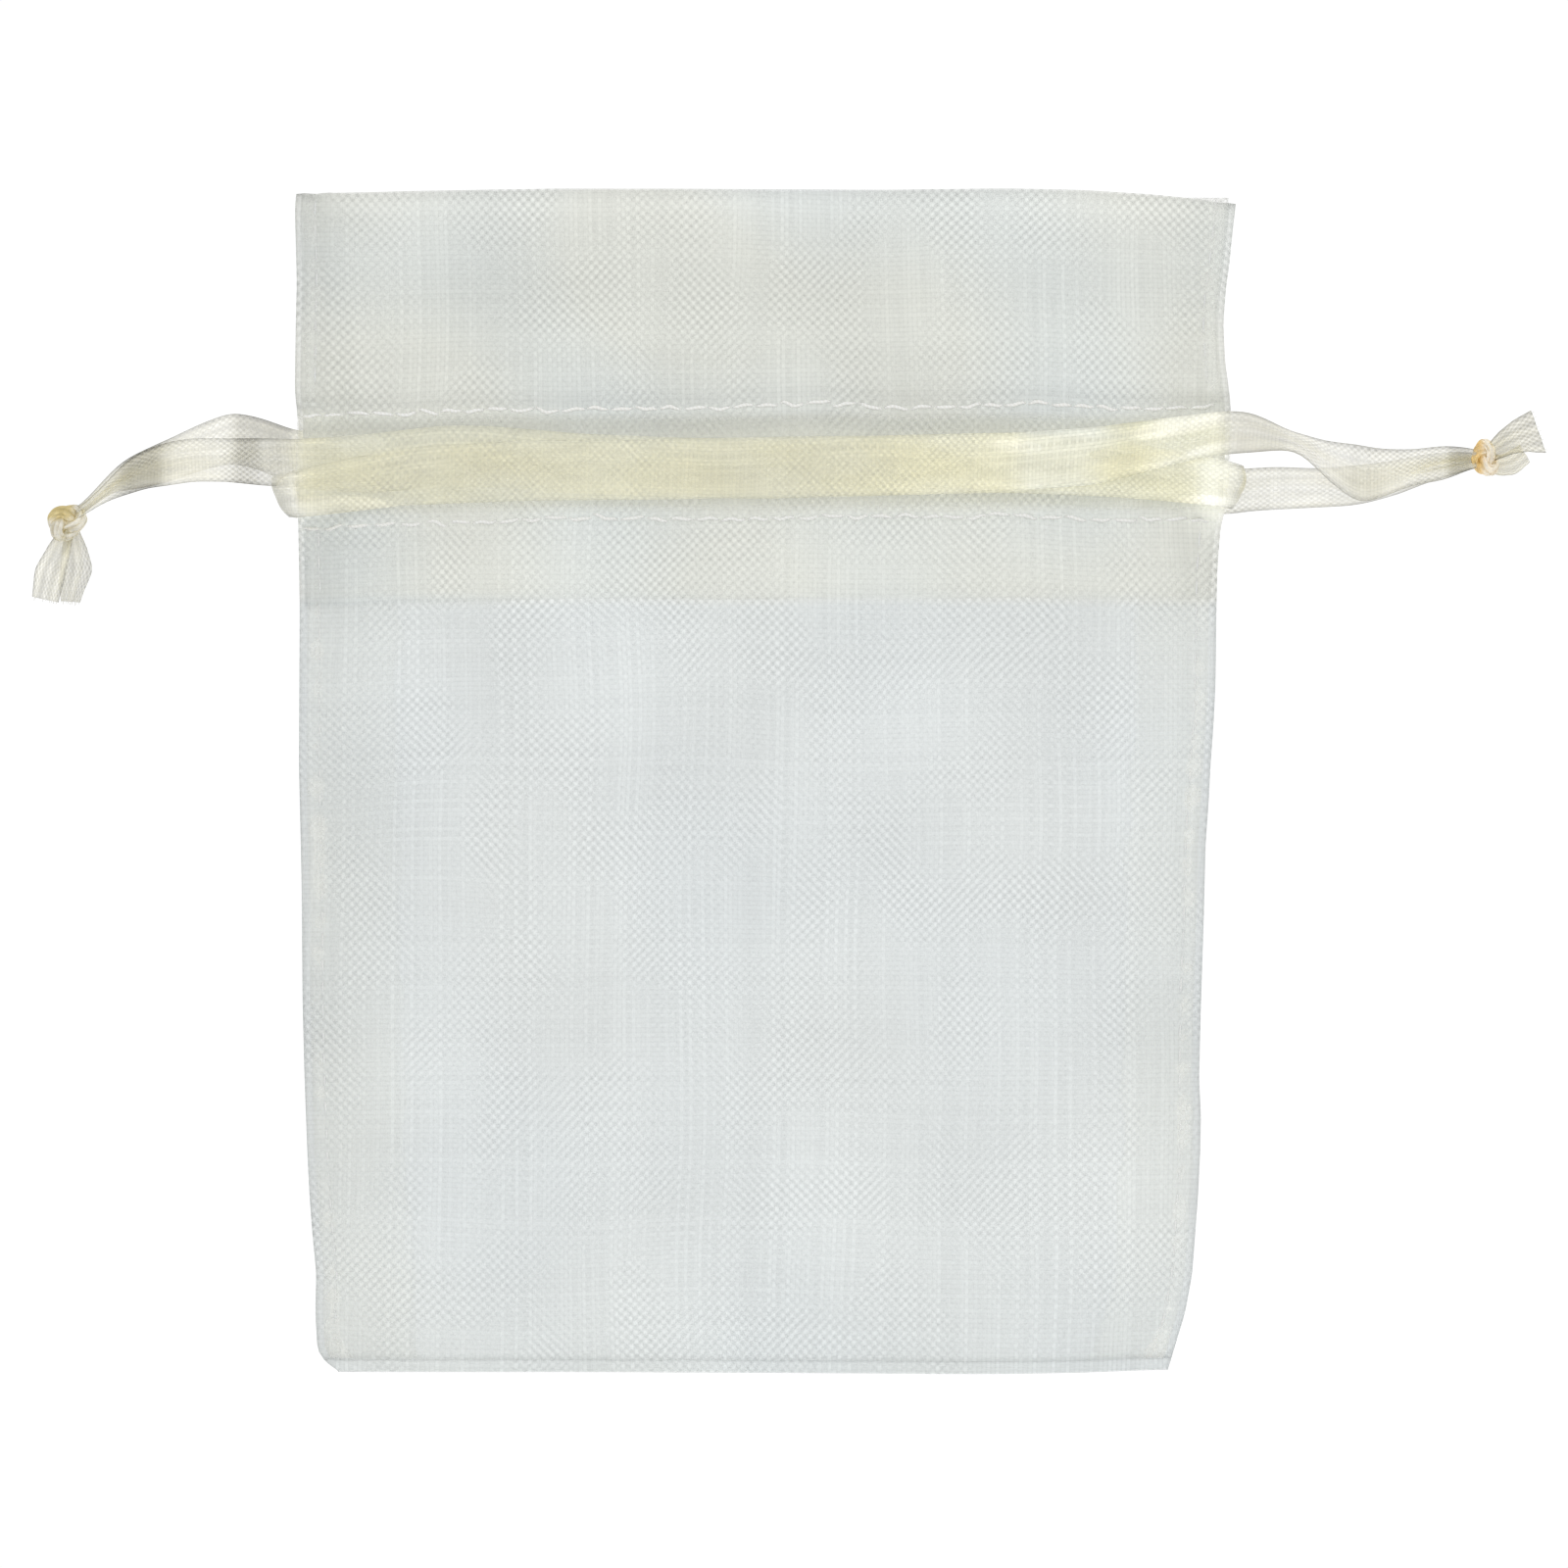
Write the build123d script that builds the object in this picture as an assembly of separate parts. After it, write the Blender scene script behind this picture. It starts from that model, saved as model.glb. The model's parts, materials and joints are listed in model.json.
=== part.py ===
from build123d import *
import math
import os

# Sheer drawstring gift pouch, nominal 9 x 12 cm, with two 6.2 mm ribbons that draw from opposite sides.
#
# Frame: millimetres, +X to the right across the pouch, +Y to the back, +Z up to the mouth.
# Origin: middle of the underside of the bottom fold, on the mid plane between front and back.
#
# One blank of organza is folded at the bottom, seamed at each side and turned in at the mouth.
# Two stitch lines through the turned-in hem make a casing on the front and on the back.
# The cloth is modelled in zones: panel, casing, frill and hem end. Each ribbon is a hairpin
# through the front casing, round one side seam and back through the back casing, then knotted.

os.makedirs("parts", exist_ok=True)

# ---- cloth ----
CLOTH = 0.4            # one layer at its lofted thickness
TOP_Z = 120.5          # folded mouth edge
CASING_LO = 87.2       # lower stitch line
CASING_HI = 98.4       # upper stitch line
HALF_CASING = 47.2     # half width at the casing
CASING_IN = 2.15       # inner and outer faces of the casing, from the mid plane
CASING_OUT = 4.1
DEPTH = 4.4            # outer face of the flat of a panel, from the mid plane
SEAM_Y = 0.35          # cloth stops here, clear of the seam allowance
SIDE_SLOPE = 12.0      # width over which a panel closes to its side seam
FOLD_HALF_WIDTH = 41.6
FOLD_HALF_DEPTH = 0.75
FOLD_HEIGHT = 1.0

# ---- side seams ----
ALLOW_HALF_T = 0.3     # half thickness of a seam allowance
ALLOW_LEFT = 9.2       # widths of the two allowances
ALLOW_RIGHT = 7.4
SEAM_THREAD_Y = -ALLOW_HALF_T - 0.14

# ---- ribbons ----
RIBBON_W = 6.2
RIBBON_T = 0.3
LEFT_Y = 2.85          # distance of each ribbon's runs from the mid plane
RIGHT_Y = 3.35
LEFT_Z = 90.9          # lower edge of each ribbon's runs
RIGHT_Z = 88.1
LEFT_TURN_X = 47.6     # where the left ribbon starts its turn, at the right side
RIGHT_TURN_X = -46.2   # where the right ribbon starts its turn, at the left side
RUN_END = 52.8         # knotted-side end of the runs, from the centre
KNOT_R = 2.0
LEFT_KNOT = (-70.4, 86.5)   # X, Z
RIGHT_KNOT = (73.7, 93.3)

REACH = 10.0           # half depth of cutting shapes, past every surface in Y


# ---- shape helpers ----
def prism(plane, points, length):
    """A closed outline drawn on a plane and extruded along its normal."""
    with BuildSketch(plane) as sketch:
        with BuildLine():
            Polyline(*points, close=True)
        make_face()
    return extrude(sketch.sketch, amount=length)


def prism_xy(points, z0, z1):
    """A column with a section in X, Y."""
    return prism(Plane.XY.offset(z0), points, z1 - z0)


def prism_yz(points, x0, x1):
    """A bar with a section in Y, Z."""
    return prism(Plane.YZ.offset(x0), points, x1 - x0)


def prism_xz(points, y0, y1):
    """A plate with an outline in X, Z; y0 is its front face."""
    plane = Plane(origin=(0, y1, 0), x_dir=(1, 0, 0), z_dir=(0, -1, 0))
    return prism(plane, points, y1 - y0)


def block(x0, x1, y0, y1, z0, z1):
    centre = Pos((x0 + x1) / 2, (y0 + y1) / 2, (z0 + z1) / 2)
    return centre * Box(x1 - x0, y1 - y0, z1 - z0)


def symmetric(left_points):
    """The left half of a section followed by its mirror image to the right."""
    return left_points + [(-x, y) for x, y in reversed(left_points)]


# ---- lower pouch ----
PANEL_LO = 1.4
PANEL_HI = CASING_LO - 0.1
PANEL_HALF = 48.0          # half width of the section before the outline trims it
BOTTOM_SLOPE = 11.0        # height over which a panel closes to the bottom fold
OVERRUN = 1.0              # excess height of shapes that are trimmed later

# outside of the panel, seen from the front: X, Z
PANEL_OUTLINE = [
    (-42.0, PANEL_LO), (-45.0, 5.0), (-45.4, 13.0), (-46.3, 30.0), (-46.7, 58.0),
    (-HALF_CASING, PANEL_HI), (HALF_CASING, PANEL_HI),
    (46.3, 70.0), (45.2, 50.0), (44.8, 30.0), (44.2, 13.0), (42.4, 3.6),
    (FOLD_HALF_WIDTH, PANEL_LO),
]
# inside of the panel, open at the top: X, Z
PANEL_INNER_OUTLINE = [
    (-41.0, PANEL_LO + 0.9), (-43.8, 5.4), (-44.3, 13.0), (-45.2, 30.0), (-45.6, 58.0),
    (-46.1, PANEL_HI + OVERRUN), (46.1, PANEL_HI + OVERRUN),
    (45.2, 70.0), (44.1, 50.0), (43.7, 30.0), (43.1, 13.0), (41.4, 4.4),
    (40.6, PANEL_LO + 0.9),
]


def panel_body(depth, edge, open_y, inset, low):
    """A solid sloping to both sides and to the bottom; edge is its depth at the rim."""
    half = PANEL_HALF - inset
    high = PANEL_HI + OVERRUN
    section = symmetric([(-half, open_y), (-half, -edge), (-half + SIDE_SLOPE, -depth)])
    across = prism_xy(section, PANEL_LO - OVERRUN, high)
    profile = [(open_y, low), (-edge, low), (-depth, low + BOTTOM_SLOPE),
               (-depth, high), (open_y, high)]
    return across & prism_yz(profile, -60, 60)


def panel():
    """A thin tray: flat in the middle, sloping to both side seams and to the bottom fold."""
    outer = panel_body(depth=DEPTH, edge=SEAM_Y + CLOTH, open_y=0.0, inset=0.0, low=PANEL_LO)
    outer = outer & prism_xz(PANEL_OUTLINE, -REACH, -SEAM_Y)
    inner = panel_body(depth=DEPTH - CLOTH, edge=0.3, open_y=0.6, inset=1.0,
                       low=PANEL_LO + 0.75)
    inner = inner & prism_xz(PANEL_INNER_OUTLINE, -REACH, 1)
    return outer - inner


def hem_end():
    """The end of the turned-in hem, against the inside of the panel below the casing."""
    half = 46.0
    raw_edge_z = 79.0
    depth = DEPTH - CLOTH - 0.06
    section = symmetric([
        (-half + SIDE_SLOPE + 1.0, -depth + CLOTH - 0.1),
        (-half + 3.5, -0.95),
        (-half + 3.0, -1.15),
        (-half + SIDE_SLOPE + 0.8, -depth),
    ])
    return prism_xy(section, raw_edge_z, CASING_LO - 0.15)


# ---- mouth ----
def casing():
    """A flat sleeve, open at both ends, that the two ribbons run through."""
    outer = block(-HALF_CASING, HALF_CASING, -CASING_OUT, -CASING_IN, CASING_LO, CASING_HI)
    tunnel = block(-HALF_CASING - 1, HALF_CASING + 1, -CASING_OUT + CLOTH, -CASING_IN - CLOTH,
                   CASING_LO + CLOTH, CASING_HI - CLOTH)
    return outer - tunnel


def frill():
    """The standing double frill above the casing."""
    low = CASING_HI + 0.1
    double = 2 * CLOTH
    outer = prism_xy(symmetric([
        (-50, -SEAM_Y), (-50, -SEAM_Y - double), (-39, -CASING_OUT),
    ]), low, TOP_Z)
    inner = prism_xy(symmetric([
        (-48.6, 0), (-48.6, -SEAM_Y + 0.05), (-38.6, -CASING_OUT + double),
    ]), low - 1, TOP_Z + 1)
    # outline seen from the front: X, Z
    trim = prism_xz([
        (-HALF_CASING, low), (-47.2, TOP_Z), (30, TOP_Z),
        (48.2, TOP_Z - 1.2), (46.9, 108.0), (HALF_CASING, low),
    ], -REACH, 0)
    return (outer - inner) & trim


STITCH_PITCH = 4.0
STITCH_LEN = 2.8
STITCH_D = 0.26
STITCH_Y = -CASING_OUT - STITCH_D / 2 - 0.02
STITCH_END_MARGIN = 1.4    # cloth left bare past the row at each end
STITCH_INSET = 0.35        # stitches lie this far inside the casing edges


def stitch_row(z):
    """One stitch line: short thread lengths lying on the face of the casing."""
    gaps = int(2 * (HALF_CASING - STITCH_END_MARGIN) / STITCH_PITCH)
    start = -gaps * STITCH_PITCH / 2
    stitches = []
    for i in range(gaps + 1):
        place = Pos(start + i * STITCH_PITCH, STITCH_Y, z)
        stitches.append(place * Rot(0, 90, 0) * Cylinder(STITCH_D / 2, STITCH_LEN))
    return Compound(children=stitches)


# ---- side seams ----
SEAM_FIRST_Z = 7.0
SEAM_PITCH = 3.2
SEAM_STITCH_LEN = 2.3
SEAM_THREAD_R = 0.12
SEAM_LEAN_Z = 80.0         # the thread line leans outward up to here, then runs upright
CASING_CLEAR = 1.2 + 0.6   # from a stitch centre to the open casing end


def seam_row(low_x, lean):
    """The thread down one side, in short lengths, broken where the casing is open."""
    stitches = []
    z = SEAM_FIRST_Z
    while z < TOP_Z - 3:
        if z < CASING_LO - CASING_CLEAR or z > CASING_HI + CASING_CLEAR:
            x = low_x + lean * min(z, SEAM_LEAN_Z) / SEAM_LEAN_Z
            place = Pos(x, SEAM_THREAD_Y, z)
            stitches.append(place * Cylinder(SEAM_THREAD_R, SEAM_STITCH_LEN))
        z += SEAM_PITCH
    return Compound(children=stitches)


ALLOW_X = 47.0                 # outer edge of both allowances beside the casing
ALLOW_LO = CASING_LO - 0.5     # the allowances stop short of the open casing end
ALLOW_HI = CASING_HI + 0.5


def allowance(low, top):
    """A turned seam allowance, from its X, Z outlines below and above the casing."""
    return Compound(children=[prism_xz(outline, -ALLOW_HALF_T, ALLOW_HALF_T)
                              for outline in (low, top)])


def left_allowance():
    width = ALLOW_LEFT
    low = [
        (-44.6, 5.6), (-45.2, 13.0), (-46.1, 30.0), (-46.5, 58.0), (-ALLOW_X, ALLOW_LO),
        (-ALLOW_X + width, ALLOW_LO), (-46.4 + width, 30.0), (-45.0 + width, 2.2), (-41.9, 2.2),
    ]
    top = [
        (-ALLOW_X, ALLOW_HI), (-ALLOW_X, TOP_Z - 0.6),
        (-ALLOW_X + width, TOP_Z - 0.6), (-ALLOW_X + width, ALLOW_HI),
    ]
    return allowance(low, top)


def right_allowance():
    width = ALLOW_RIGHT
    low = [
        (44.0, 13.0), (44.6, 30.0), (45.0, 50.0), (46.1, 70.0), (ALLOW_X, ALLOW_LO),
        (ALLOW_X - width, ALLOW_LO), (45.4 - width, 50.0), (43.6 - width, 2.2),
        (41.6, 2.2), (42.3, 4.2),
    ]
    top = [
        (ALLOW_X, ALLOW_HI), (46.8, 108.0), (47.9, TOP_Z - 1.9),
        (47.9 - width, TOP_Z - 1.4), (ALLOW_X - width, ALLOW_HI),
    ]
    return allowance(low, top)


# ---- ribbons ----
def run(x0, x1, y, z0):
    """One straight length of ribbon, standing on edge."""
    return block(x0, x1, y - RIBBON_T / 2, y + RIBBON_T / 2, z0, z0 + RIBBON_W)


def left_loop():
    """The left ribbon's turn round the right side seam, full width."""
    ring = Pos(LEFT_TURN_X, 0, LEFT_Z + RIBBON_W / 2) * (
        Cylinder(LEFT_Y + RIBBON_T / 2, RIBBON_W) - Cylinder(LEFT_Y - RIBBON_T / 2, RIBBON_W))
    return ring & block(LEFT_TURN_X, LEFT_TURN_X + 10, -REACH, REACH, 0, 200)


def right_loop():
    """The right ribbon's turn round the left side seam, kept low to clear the left ribbon."""
    height = 2.5

    def oval(x_radius, y_radius):
        face = Plane.XY.offset(RIGHT_Z) * (Pos(RIGHT_TURN_X, 0) * Ellipse(x_radius, y_radius))
        return extrude(face, amount=height)

    ring = oval(2.9, RIGHT_Y + RIBBON_T / 2) - oval(2.6, RIGHT_Y - RIBBON_T / 2)
    return ring & block(RIGHT_TURN_X - 10, RIGHT_TURN_X, -REACH, REACH, 0, 200)


def tail(side, face, run_y, start_z, knot_at, knot_rise):
    """A ribbon end tapering to its knot; side is -1 left, 1 right; face is -1 front, 1 back."""
    def section(x, y, z, height):
        plane = Plane(origin=(x, y, z), x_dir=(0, 1, 0), z_dir=(1, 0, 0))
        return plane * Rectangle(RIBBON_T, height)

    start_y = run_y - RIBBON_T - 0.15   # just inside the run
    start = section(side * 51.2, face * start_y, start_z, 4.6)
    end = section(knot_at[0] - side * 2.2, face * 0.4, knot_at[1] + knot_rise, 1.5)
    return loft([start, end], ruled=True)


def knot(at):
    """An overhand knot as a closed ball, squashed a little in depth and height."""
    return Pos(at[0], 0, at[1]) * scale(Sphere(KNOT_R), by=(1.0, 0.85, 0.9))


def end_flap(at, angle, length, end_width, y):
    """One loose end past a knot, cut on a slant; angle is in X, Z from +X toward +Z."""
    along_x = math.cos(math.radians(angle))
    along_z = math.sin(math.radians(angle))
    root_width = 2.2
    root = KNOT_R + 0.25

    def point(distance, offset):
        return (at[0] + along_x * distance - along_z * offset,
                at[1] + along_z * distance + along_x * offset)

    outline = [point(root, -root_width / 2), point(length - 0.5, -end_width / 2),
               point(length, end_width / 2), point(root, root_width / 2)]
    return prism_xz(outline, y - RIBBON_T / 2, y + RIBBON_T / 2)


def loose_ends(at, front, back):
    """Both ends past a knot, each given as angle, length, end width."""
    return Compound(children=[end_flap(at, *front, y=-0.3), end_flap(at, *back, y=0.3)])


# ---- assembly ----
parts = {
    "bottom_fold": block(-FOLD_HALF_WIDTH, FOLD_HALF_WIDTH, -FOLD_HALF_DEPTH, FOLD_HALF_DEPTH,
                         0, FOLD_HEIGHT),
    "left_seam_allowance": left_allowance(),
    "right_seam_allowance": right_allowance(),
    "left_seam_thread": seam_row(low_x=-43.1, lean=-1.4),
    "right_seam_thread": seam_row(low_x=41.0, lean=3.2),
    "left_ribbon_loop": left_loop(),
    "right_ribbon_loop": right_loop(),
    "left_knot": knot(LEFT_KNOT),
    "right_knot": knot(RIGHT_KNOT),
    "left_ribbon_ends": loose_ends(LEFT_KNOT, front=(-99, 7.6, 4.4), back=(-95, 7.2, 4.2)),
    "right_ribbon_ends": loose_ends(RIGHT_KNOT, front=(26, 6.4, 4.4), back=(20, 6.0, 4.2)),
}

# cloth is drawn as the front and mirrored for the back
cloth = {
    "panel": panel(),
    "casing": casing(),
    "frill": frill(),
    "hem_end": hem_end(),
    "upper_stitches": stitch_row(CASING_HI - STITCH_INSET),
    "lower_stitches": stitch_row(CASING_LO + STITCH_INSET),
}
for name, shape in cloth.items():
    parts[f"front_{name}"] = shape
    parts[f"back_{name}"] = mirror(shape, about=Plane.XZ)

# each ribbon is named for the side its knot is on
for label, face in (("front", -1), ("back", 1)):
    parts[f"left_ribbon_{label}"] = run(-RUN_END, LEFT_TURN_X, face * LEFT_Y, LEFT_Z)
    parts[f"right_ribbon_{label}"] = run(RIGHT_TURN_X, RUN_END, face * RIGHT_Y, RIGHT_Z)
    parts[f"left_tail_{label}"] = tail(-1, face, LEFT_Y, 93.2, LEFT_KNOT, 0.75)
    parts[f"right_tail_{label}"] = tail(1, face, RIGHT_Y, 91.4, RIGHT_KNOT, -0.1)

for name, shape in parts.items():
    export_step(shape, f"parts/{name}.step")
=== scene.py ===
import json
import math

import bpy
import numpy as np
from mathutils import Matrix, Vector

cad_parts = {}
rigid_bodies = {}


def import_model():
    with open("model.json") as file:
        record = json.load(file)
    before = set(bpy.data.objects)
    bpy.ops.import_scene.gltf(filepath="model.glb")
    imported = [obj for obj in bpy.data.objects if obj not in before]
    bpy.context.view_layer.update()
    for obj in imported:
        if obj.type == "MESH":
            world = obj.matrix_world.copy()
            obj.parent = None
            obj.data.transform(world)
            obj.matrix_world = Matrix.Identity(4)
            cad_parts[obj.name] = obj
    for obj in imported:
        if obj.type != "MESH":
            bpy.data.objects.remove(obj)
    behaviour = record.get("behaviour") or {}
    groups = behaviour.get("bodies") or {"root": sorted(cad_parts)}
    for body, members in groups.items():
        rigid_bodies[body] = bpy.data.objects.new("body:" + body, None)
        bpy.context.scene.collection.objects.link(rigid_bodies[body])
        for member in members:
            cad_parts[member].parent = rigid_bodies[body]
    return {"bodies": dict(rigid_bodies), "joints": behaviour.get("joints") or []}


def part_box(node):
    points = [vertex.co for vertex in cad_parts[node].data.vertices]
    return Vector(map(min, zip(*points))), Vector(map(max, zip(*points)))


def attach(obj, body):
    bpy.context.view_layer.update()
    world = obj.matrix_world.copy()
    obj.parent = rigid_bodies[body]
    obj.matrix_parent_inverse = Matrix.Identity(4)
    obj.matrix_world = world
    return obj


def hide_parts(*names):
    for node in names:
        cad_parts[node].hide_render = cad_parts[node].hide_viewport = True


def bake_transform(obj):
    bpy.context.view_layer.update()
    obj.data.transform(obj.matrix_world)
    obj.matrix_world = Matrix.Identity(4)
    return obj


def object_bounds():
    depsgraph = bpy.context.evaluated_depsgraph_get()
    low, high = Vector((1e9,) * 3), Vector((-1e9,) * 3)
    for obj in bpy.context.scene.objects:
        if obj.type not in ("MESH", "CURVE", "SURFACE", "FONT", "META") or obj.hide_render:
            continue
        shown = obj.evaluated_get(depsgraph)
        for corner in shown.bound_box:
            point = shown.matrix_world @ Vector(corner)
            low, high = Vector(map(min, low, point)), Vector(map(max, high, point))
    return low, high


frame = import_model()
cad_lo, cad_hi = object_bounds()

MM = 0.001
scene = bpy.context.scene
RNG = np.random.default_rng(7)


def cadbox(node):
    lo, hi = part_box(node)
    return np.array(lo) * 1000, np.array(hi) * 1000


# ---------------------------------------------------------------- levels, from the CAD, in millimetres
Z_LO = cadbox("front_casing")[0][2] - 0.25     # lower casing stitch line
Z_HI = cadbox("front_casing")[1][2] - 0.25     # upper casing stitch line
Z_TOP = cadbox("front_frill")[1][2] - 0.15
Z_HEM = cadbox("front_hem_end")[0][2] - 0.2
DEPTH = cadbox("back_panel")[1][1] - 0.35
X_HALF = cadbox("front_casing")[1][0]
CAD_L, CAD_R = cadbox("front_frill")[0][0], cadbox("front_frill")[1][0]
PULL = [j for j in frame["joints"] if j["name"] == "left_ribbon_pull"][0]["range_m"][1] * 1000
OPEN = math.radians([j for j in frame["joints"] if j["name"] == "mouth_open_front"][0]["range_deg"][1])
HINGE_Z = [j for j in frame["joints"] if j["name"] == "mouth_open_front"][0]["pos_m"][2] * 1000
HINGES = {j["name"]: np.array(j["pos_m"]) * 1000 for j in frame["joints"] if "pos_m" in j}
THICK = 0.14                                   # one layer of organza with its solid edges
SEAM_IN = 2.05                                 # side seam line, in from the folded edge


def smooth(t):
    t = np.clip(t, 0, 1)
    return t * t * (3 - 2 * t)


def table(rows, width=1.2):
    """A smooth curve through rows of (key, value)."""
    k = np.array(rows, float)
    k = k[np.argsort(k[:, 0])]
    g = np.arange(k[0, 0] - 6, k[-1, 0] + 6, 0.2)
    v = np.interp(g, k[:, 0], k[:, 1])
    n = int(3 * width / 0.2)
    w = np.exp(-0.5 * (np.arange(-n, n + 1) * 0.2 / width) ** 2)
    v = np.convolve(np.pad(v, n, mode="edge"), w / w.sum(), mode="valid")
    return lambda q: np.interp(q, g, v)


# side edges of the flat pouch against height, as distances inwards from the CAD's widest points
LEFT_IN = table([(0.0, 5.0), (0.4, 4.0), (1.3, 2.8), (2.3, 2.13), (6.3, 1.93), (10.2, 2.03), (14.2, 1.63), (18.2, 1.33), (22.2, 1.13),
                 (30, 0.83), (38, 0.63), (50, 0.53), (62, 0.26), (78, 0.34), (86, 0.2), (92, 0.0), (97.2, 0.14), (100, -0.16),
                 (107, -0.06), (111, 0.04), (115, -0.06), (118.7, -0.16), (120.5, 0.04)], 0.5)
RIGHT_IN = table([(0.0, 7.0), (0.4, 6.75), (2.3, 6.2), (6.3, 5.0), (10.2, 4.3), (14.2, 4.0), (18.2, 3.7), (22.2, 3.5), (26.2, 3.4), (30, 3.6),
                  (38, 3.4), (46, 3.13), (54, 2.93), (58, 2.63), (62, 2.43), (66, 2.13), (70, 1.93), (78, 1.83), (82, 1.73), (86, 1.43),
                  (89.8, 0.5), (95.8, 0.34), (98.8, 0.4), (100.8, 0.64), (102.8, 0.94), (106.8, 1.14), (110.7, 0.84), (112.7, 0.54),
                  (114.7, 0.34), (116.7, 0.14), (119.1, -0.16), (120.5, -0.2)], 0.5)
# key lines along the width: bottom fold, lower stitches, upper stitches, mouth edge; offsets in height
BOTTOM = table([(-45, 0.3), (-42, 0.22), (-17, 0.22), (7, 0.1), (23.7, 0.0), (33, 0.15), (41, 0.5)], 2.5)
LOWER = table([(-47, -1.05), (-37.6, -0.55), (-27.9, -0.35), (-18.4, 0.15), (-9, -0.05), (0.6, -0.05), (7, 0.25), (13.7, 0.25),
               (20, 0.15), (26.4, 0.45), (32.7, -0.15), (42, -0.05), (47, 0.0)], 1.6)
UPPER = table([(-47, -0.95), (-41.7, -0.45), (-37, -0.6), (-28.3, -0.1), (-20, -0.2), (-15, 0.0), (-5.7, 0.0), (2, 0.4), (7, 0.7),
               (12.3, 0.0), (20.5, 0.2), (28.6, 0.6), (34, 0.1), (37.7, -0.05), (47.6, 0.2)], 1.6)
MOUTH = table([(-47.2, -0.05), (-40.2, -0.3), (-30, -0.05), (-20, 0.1), (-10.5, 0.1), (12.3, -0.05), (25, 0.1), (32.6, -0.05),
               (40.2, -0.55), (44.5, -0.85), (48.4, -1.15)], 1.2)
HEMLINE = table([(-47, -0.3), (-30, 0.0), (-12, 0.15), (6, 0.0), (24, -0.1), (38, 0.1), (47, 0.0)], 3.0)


def left(z):
    return CAD_L + LEFT_IN(z)


def right(z):
    return CAD_R - RIGHT_IN(z)


class Noise:
    """Smooth seeded noise made of a few plane waves."""
    def __init__(self, seed, scale, n=22):
        r = np.random.default_rng(seed)
        a = r.uniform(0, 2 * np.pi, n)
        f = (2 * np.pi / scale) * r.uniform(0.55, 1.45, n)
        self.kx, self.kz, self.p = f * np.cos(a), f * np.sin(a), r.uniform(0, 2 * np.pi, n)
        self.n = n

    def __call__(self, x, z):
        x, z = np.asarray(x, float), np.asarray(z, float)
        out = np.zeros(np.broadcast(x, z).shape)
        for kx, kz, p in zip(self.kx, self.kz, self.p):
            out += np.sin(kx * x + kz * z + p)
        return out / math.sqrt(self.n / 2)


def warp_z(x, zn):
    """Height of a nominal level at x: the sewn lines are not quite straight."""
    keys = np.array([0.0, Z_HEM, Z_LO, Z_HI, Z_TOP])
    offs = np.array([BOTTOM(x), HEMLINE(x) * 0.4 + LOWER(x) * 0.6, LOWER(x), UPPER(x), MOUTH(x)])
    zn = np.broadcast_to(zn, np.shape(x))
    i = np.clip(np.searchsorted(keys, zn, side="right") - 1, 0, 3)
    t = np.clip((zn - keys[i]) / (keys[i + 1] - keys[i]), 0, 1)
    o = np.take_along_axis(offs, i[None], 0)[0] * (1 - t) + np.take_along_axis(offs, i[None] + 1, 0)[0] * t
    return zn + o


DEPTH_OUT = table([(0.0, DEPTH), (70, DEPTH), (80, DEPTH - 0.1), (84.5, DEPTH - 0.3), (Z_LO, DEPTH - 0.75), (Z_LO + 1.8, DEPTH - 0.08), (92.4, DEPTH + 0.12),
                   (Z_HI - 1.8, DEPTH - 0.1), (Z_HI, DEPTH - 0.75), (Z_HI + 2.5, DEPTH - 0.45), (108, DEPTH - 0.3), (Z_TOP + 1, DEPTH - 0.6)], 0.35)
DEPTH_IN = table([(70, DEPTH - 0.4), (80, DEPTH - 0.45), (84.5, DEPTH - 0.65), (Z_LO, DEPTH - 1.0), (Z_LO + 1.6, 2.35), (92.4, 1.95), (Z_HI - 1.6, 2.35),
                  (Z_HI, DEPTH - 1.0), (Z_HI + 2.5, DEPTH - 0.85), (108, DEPTH - 0.75), (Z_TOP + 1, DEPTH - 1.05)], 0.35)


def side_rise(d, reach=11.0):
    """Share of the full depth at distance d from a side seam."""
    t = np.clip((d - SEAM_IN + 0.25) / reach, 0, 1)
    soft = (1 - (1 - t) ** 2.3) * smooth(t * 9)
    roll = 0.085 * (1 - np.exp(-np.clip(d, 0, None) / 0.3))
    return np.clip(soft * 0.915 + roll, 0, 1)


def bottom_rise(z, reach=13.0):
    t = np.clip(z / reach, 0, 1)
    soft = 1 - (1 - t) ** 2.1
    roll = 0.15 * np.sqrt(np.clip(z / 0.9, 0, 1))
    return np.clip(soft * 0.85 + roll, 0, 1)


def lip(z):
    """How far the casing's end stands open, 0 at both stitch lines."""
    t = np.clip((z - Z_LO - 0.2) / (Z_HI - Z_LO - 0.4), 0, 1)
    return np.clip(np.sin(np.pi * t), 0, 1) ** 0.3


WAVE_A = {-1: Noise(11, 26), 1: Noise(12, 26)}
WAVE_B = {-1: Noise(21, 9), 1: Noise(22, 9)}
PUCK = {-1: Noise(31, 3.4), 1: Noise(32, 3.4)}


def near(z, level, width):
    return np.exp(-((z - level) / width) ** 2)


def wrinkle(x, z, side):
    """Small height changes of the flat cloth, in millimetres."""
    w = 0.17 * WAVE_A[side](x, z) + 0.05 * WAVE_B[side](x * 1.25, z * 0.8)
    p = PUCK[side](x, z * 0.16)
    w = w + 0.11 * p * (near(z, Z_LO - 0.9, 2.6) + near(z, Z_HI + 0.9, 2.6)) + 0.05 * p * near(z, Z_HI + 6, 6)
    edge = np.minimum(x - left(z), right(z) - x)
    s = PUCK[-side](z * 1.1, x * 0.2)
    return w * smooth(edge / 5) + 0.10 * s * np.exp(-((edge - 2.6) / 2.2) ** 2)


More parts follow.
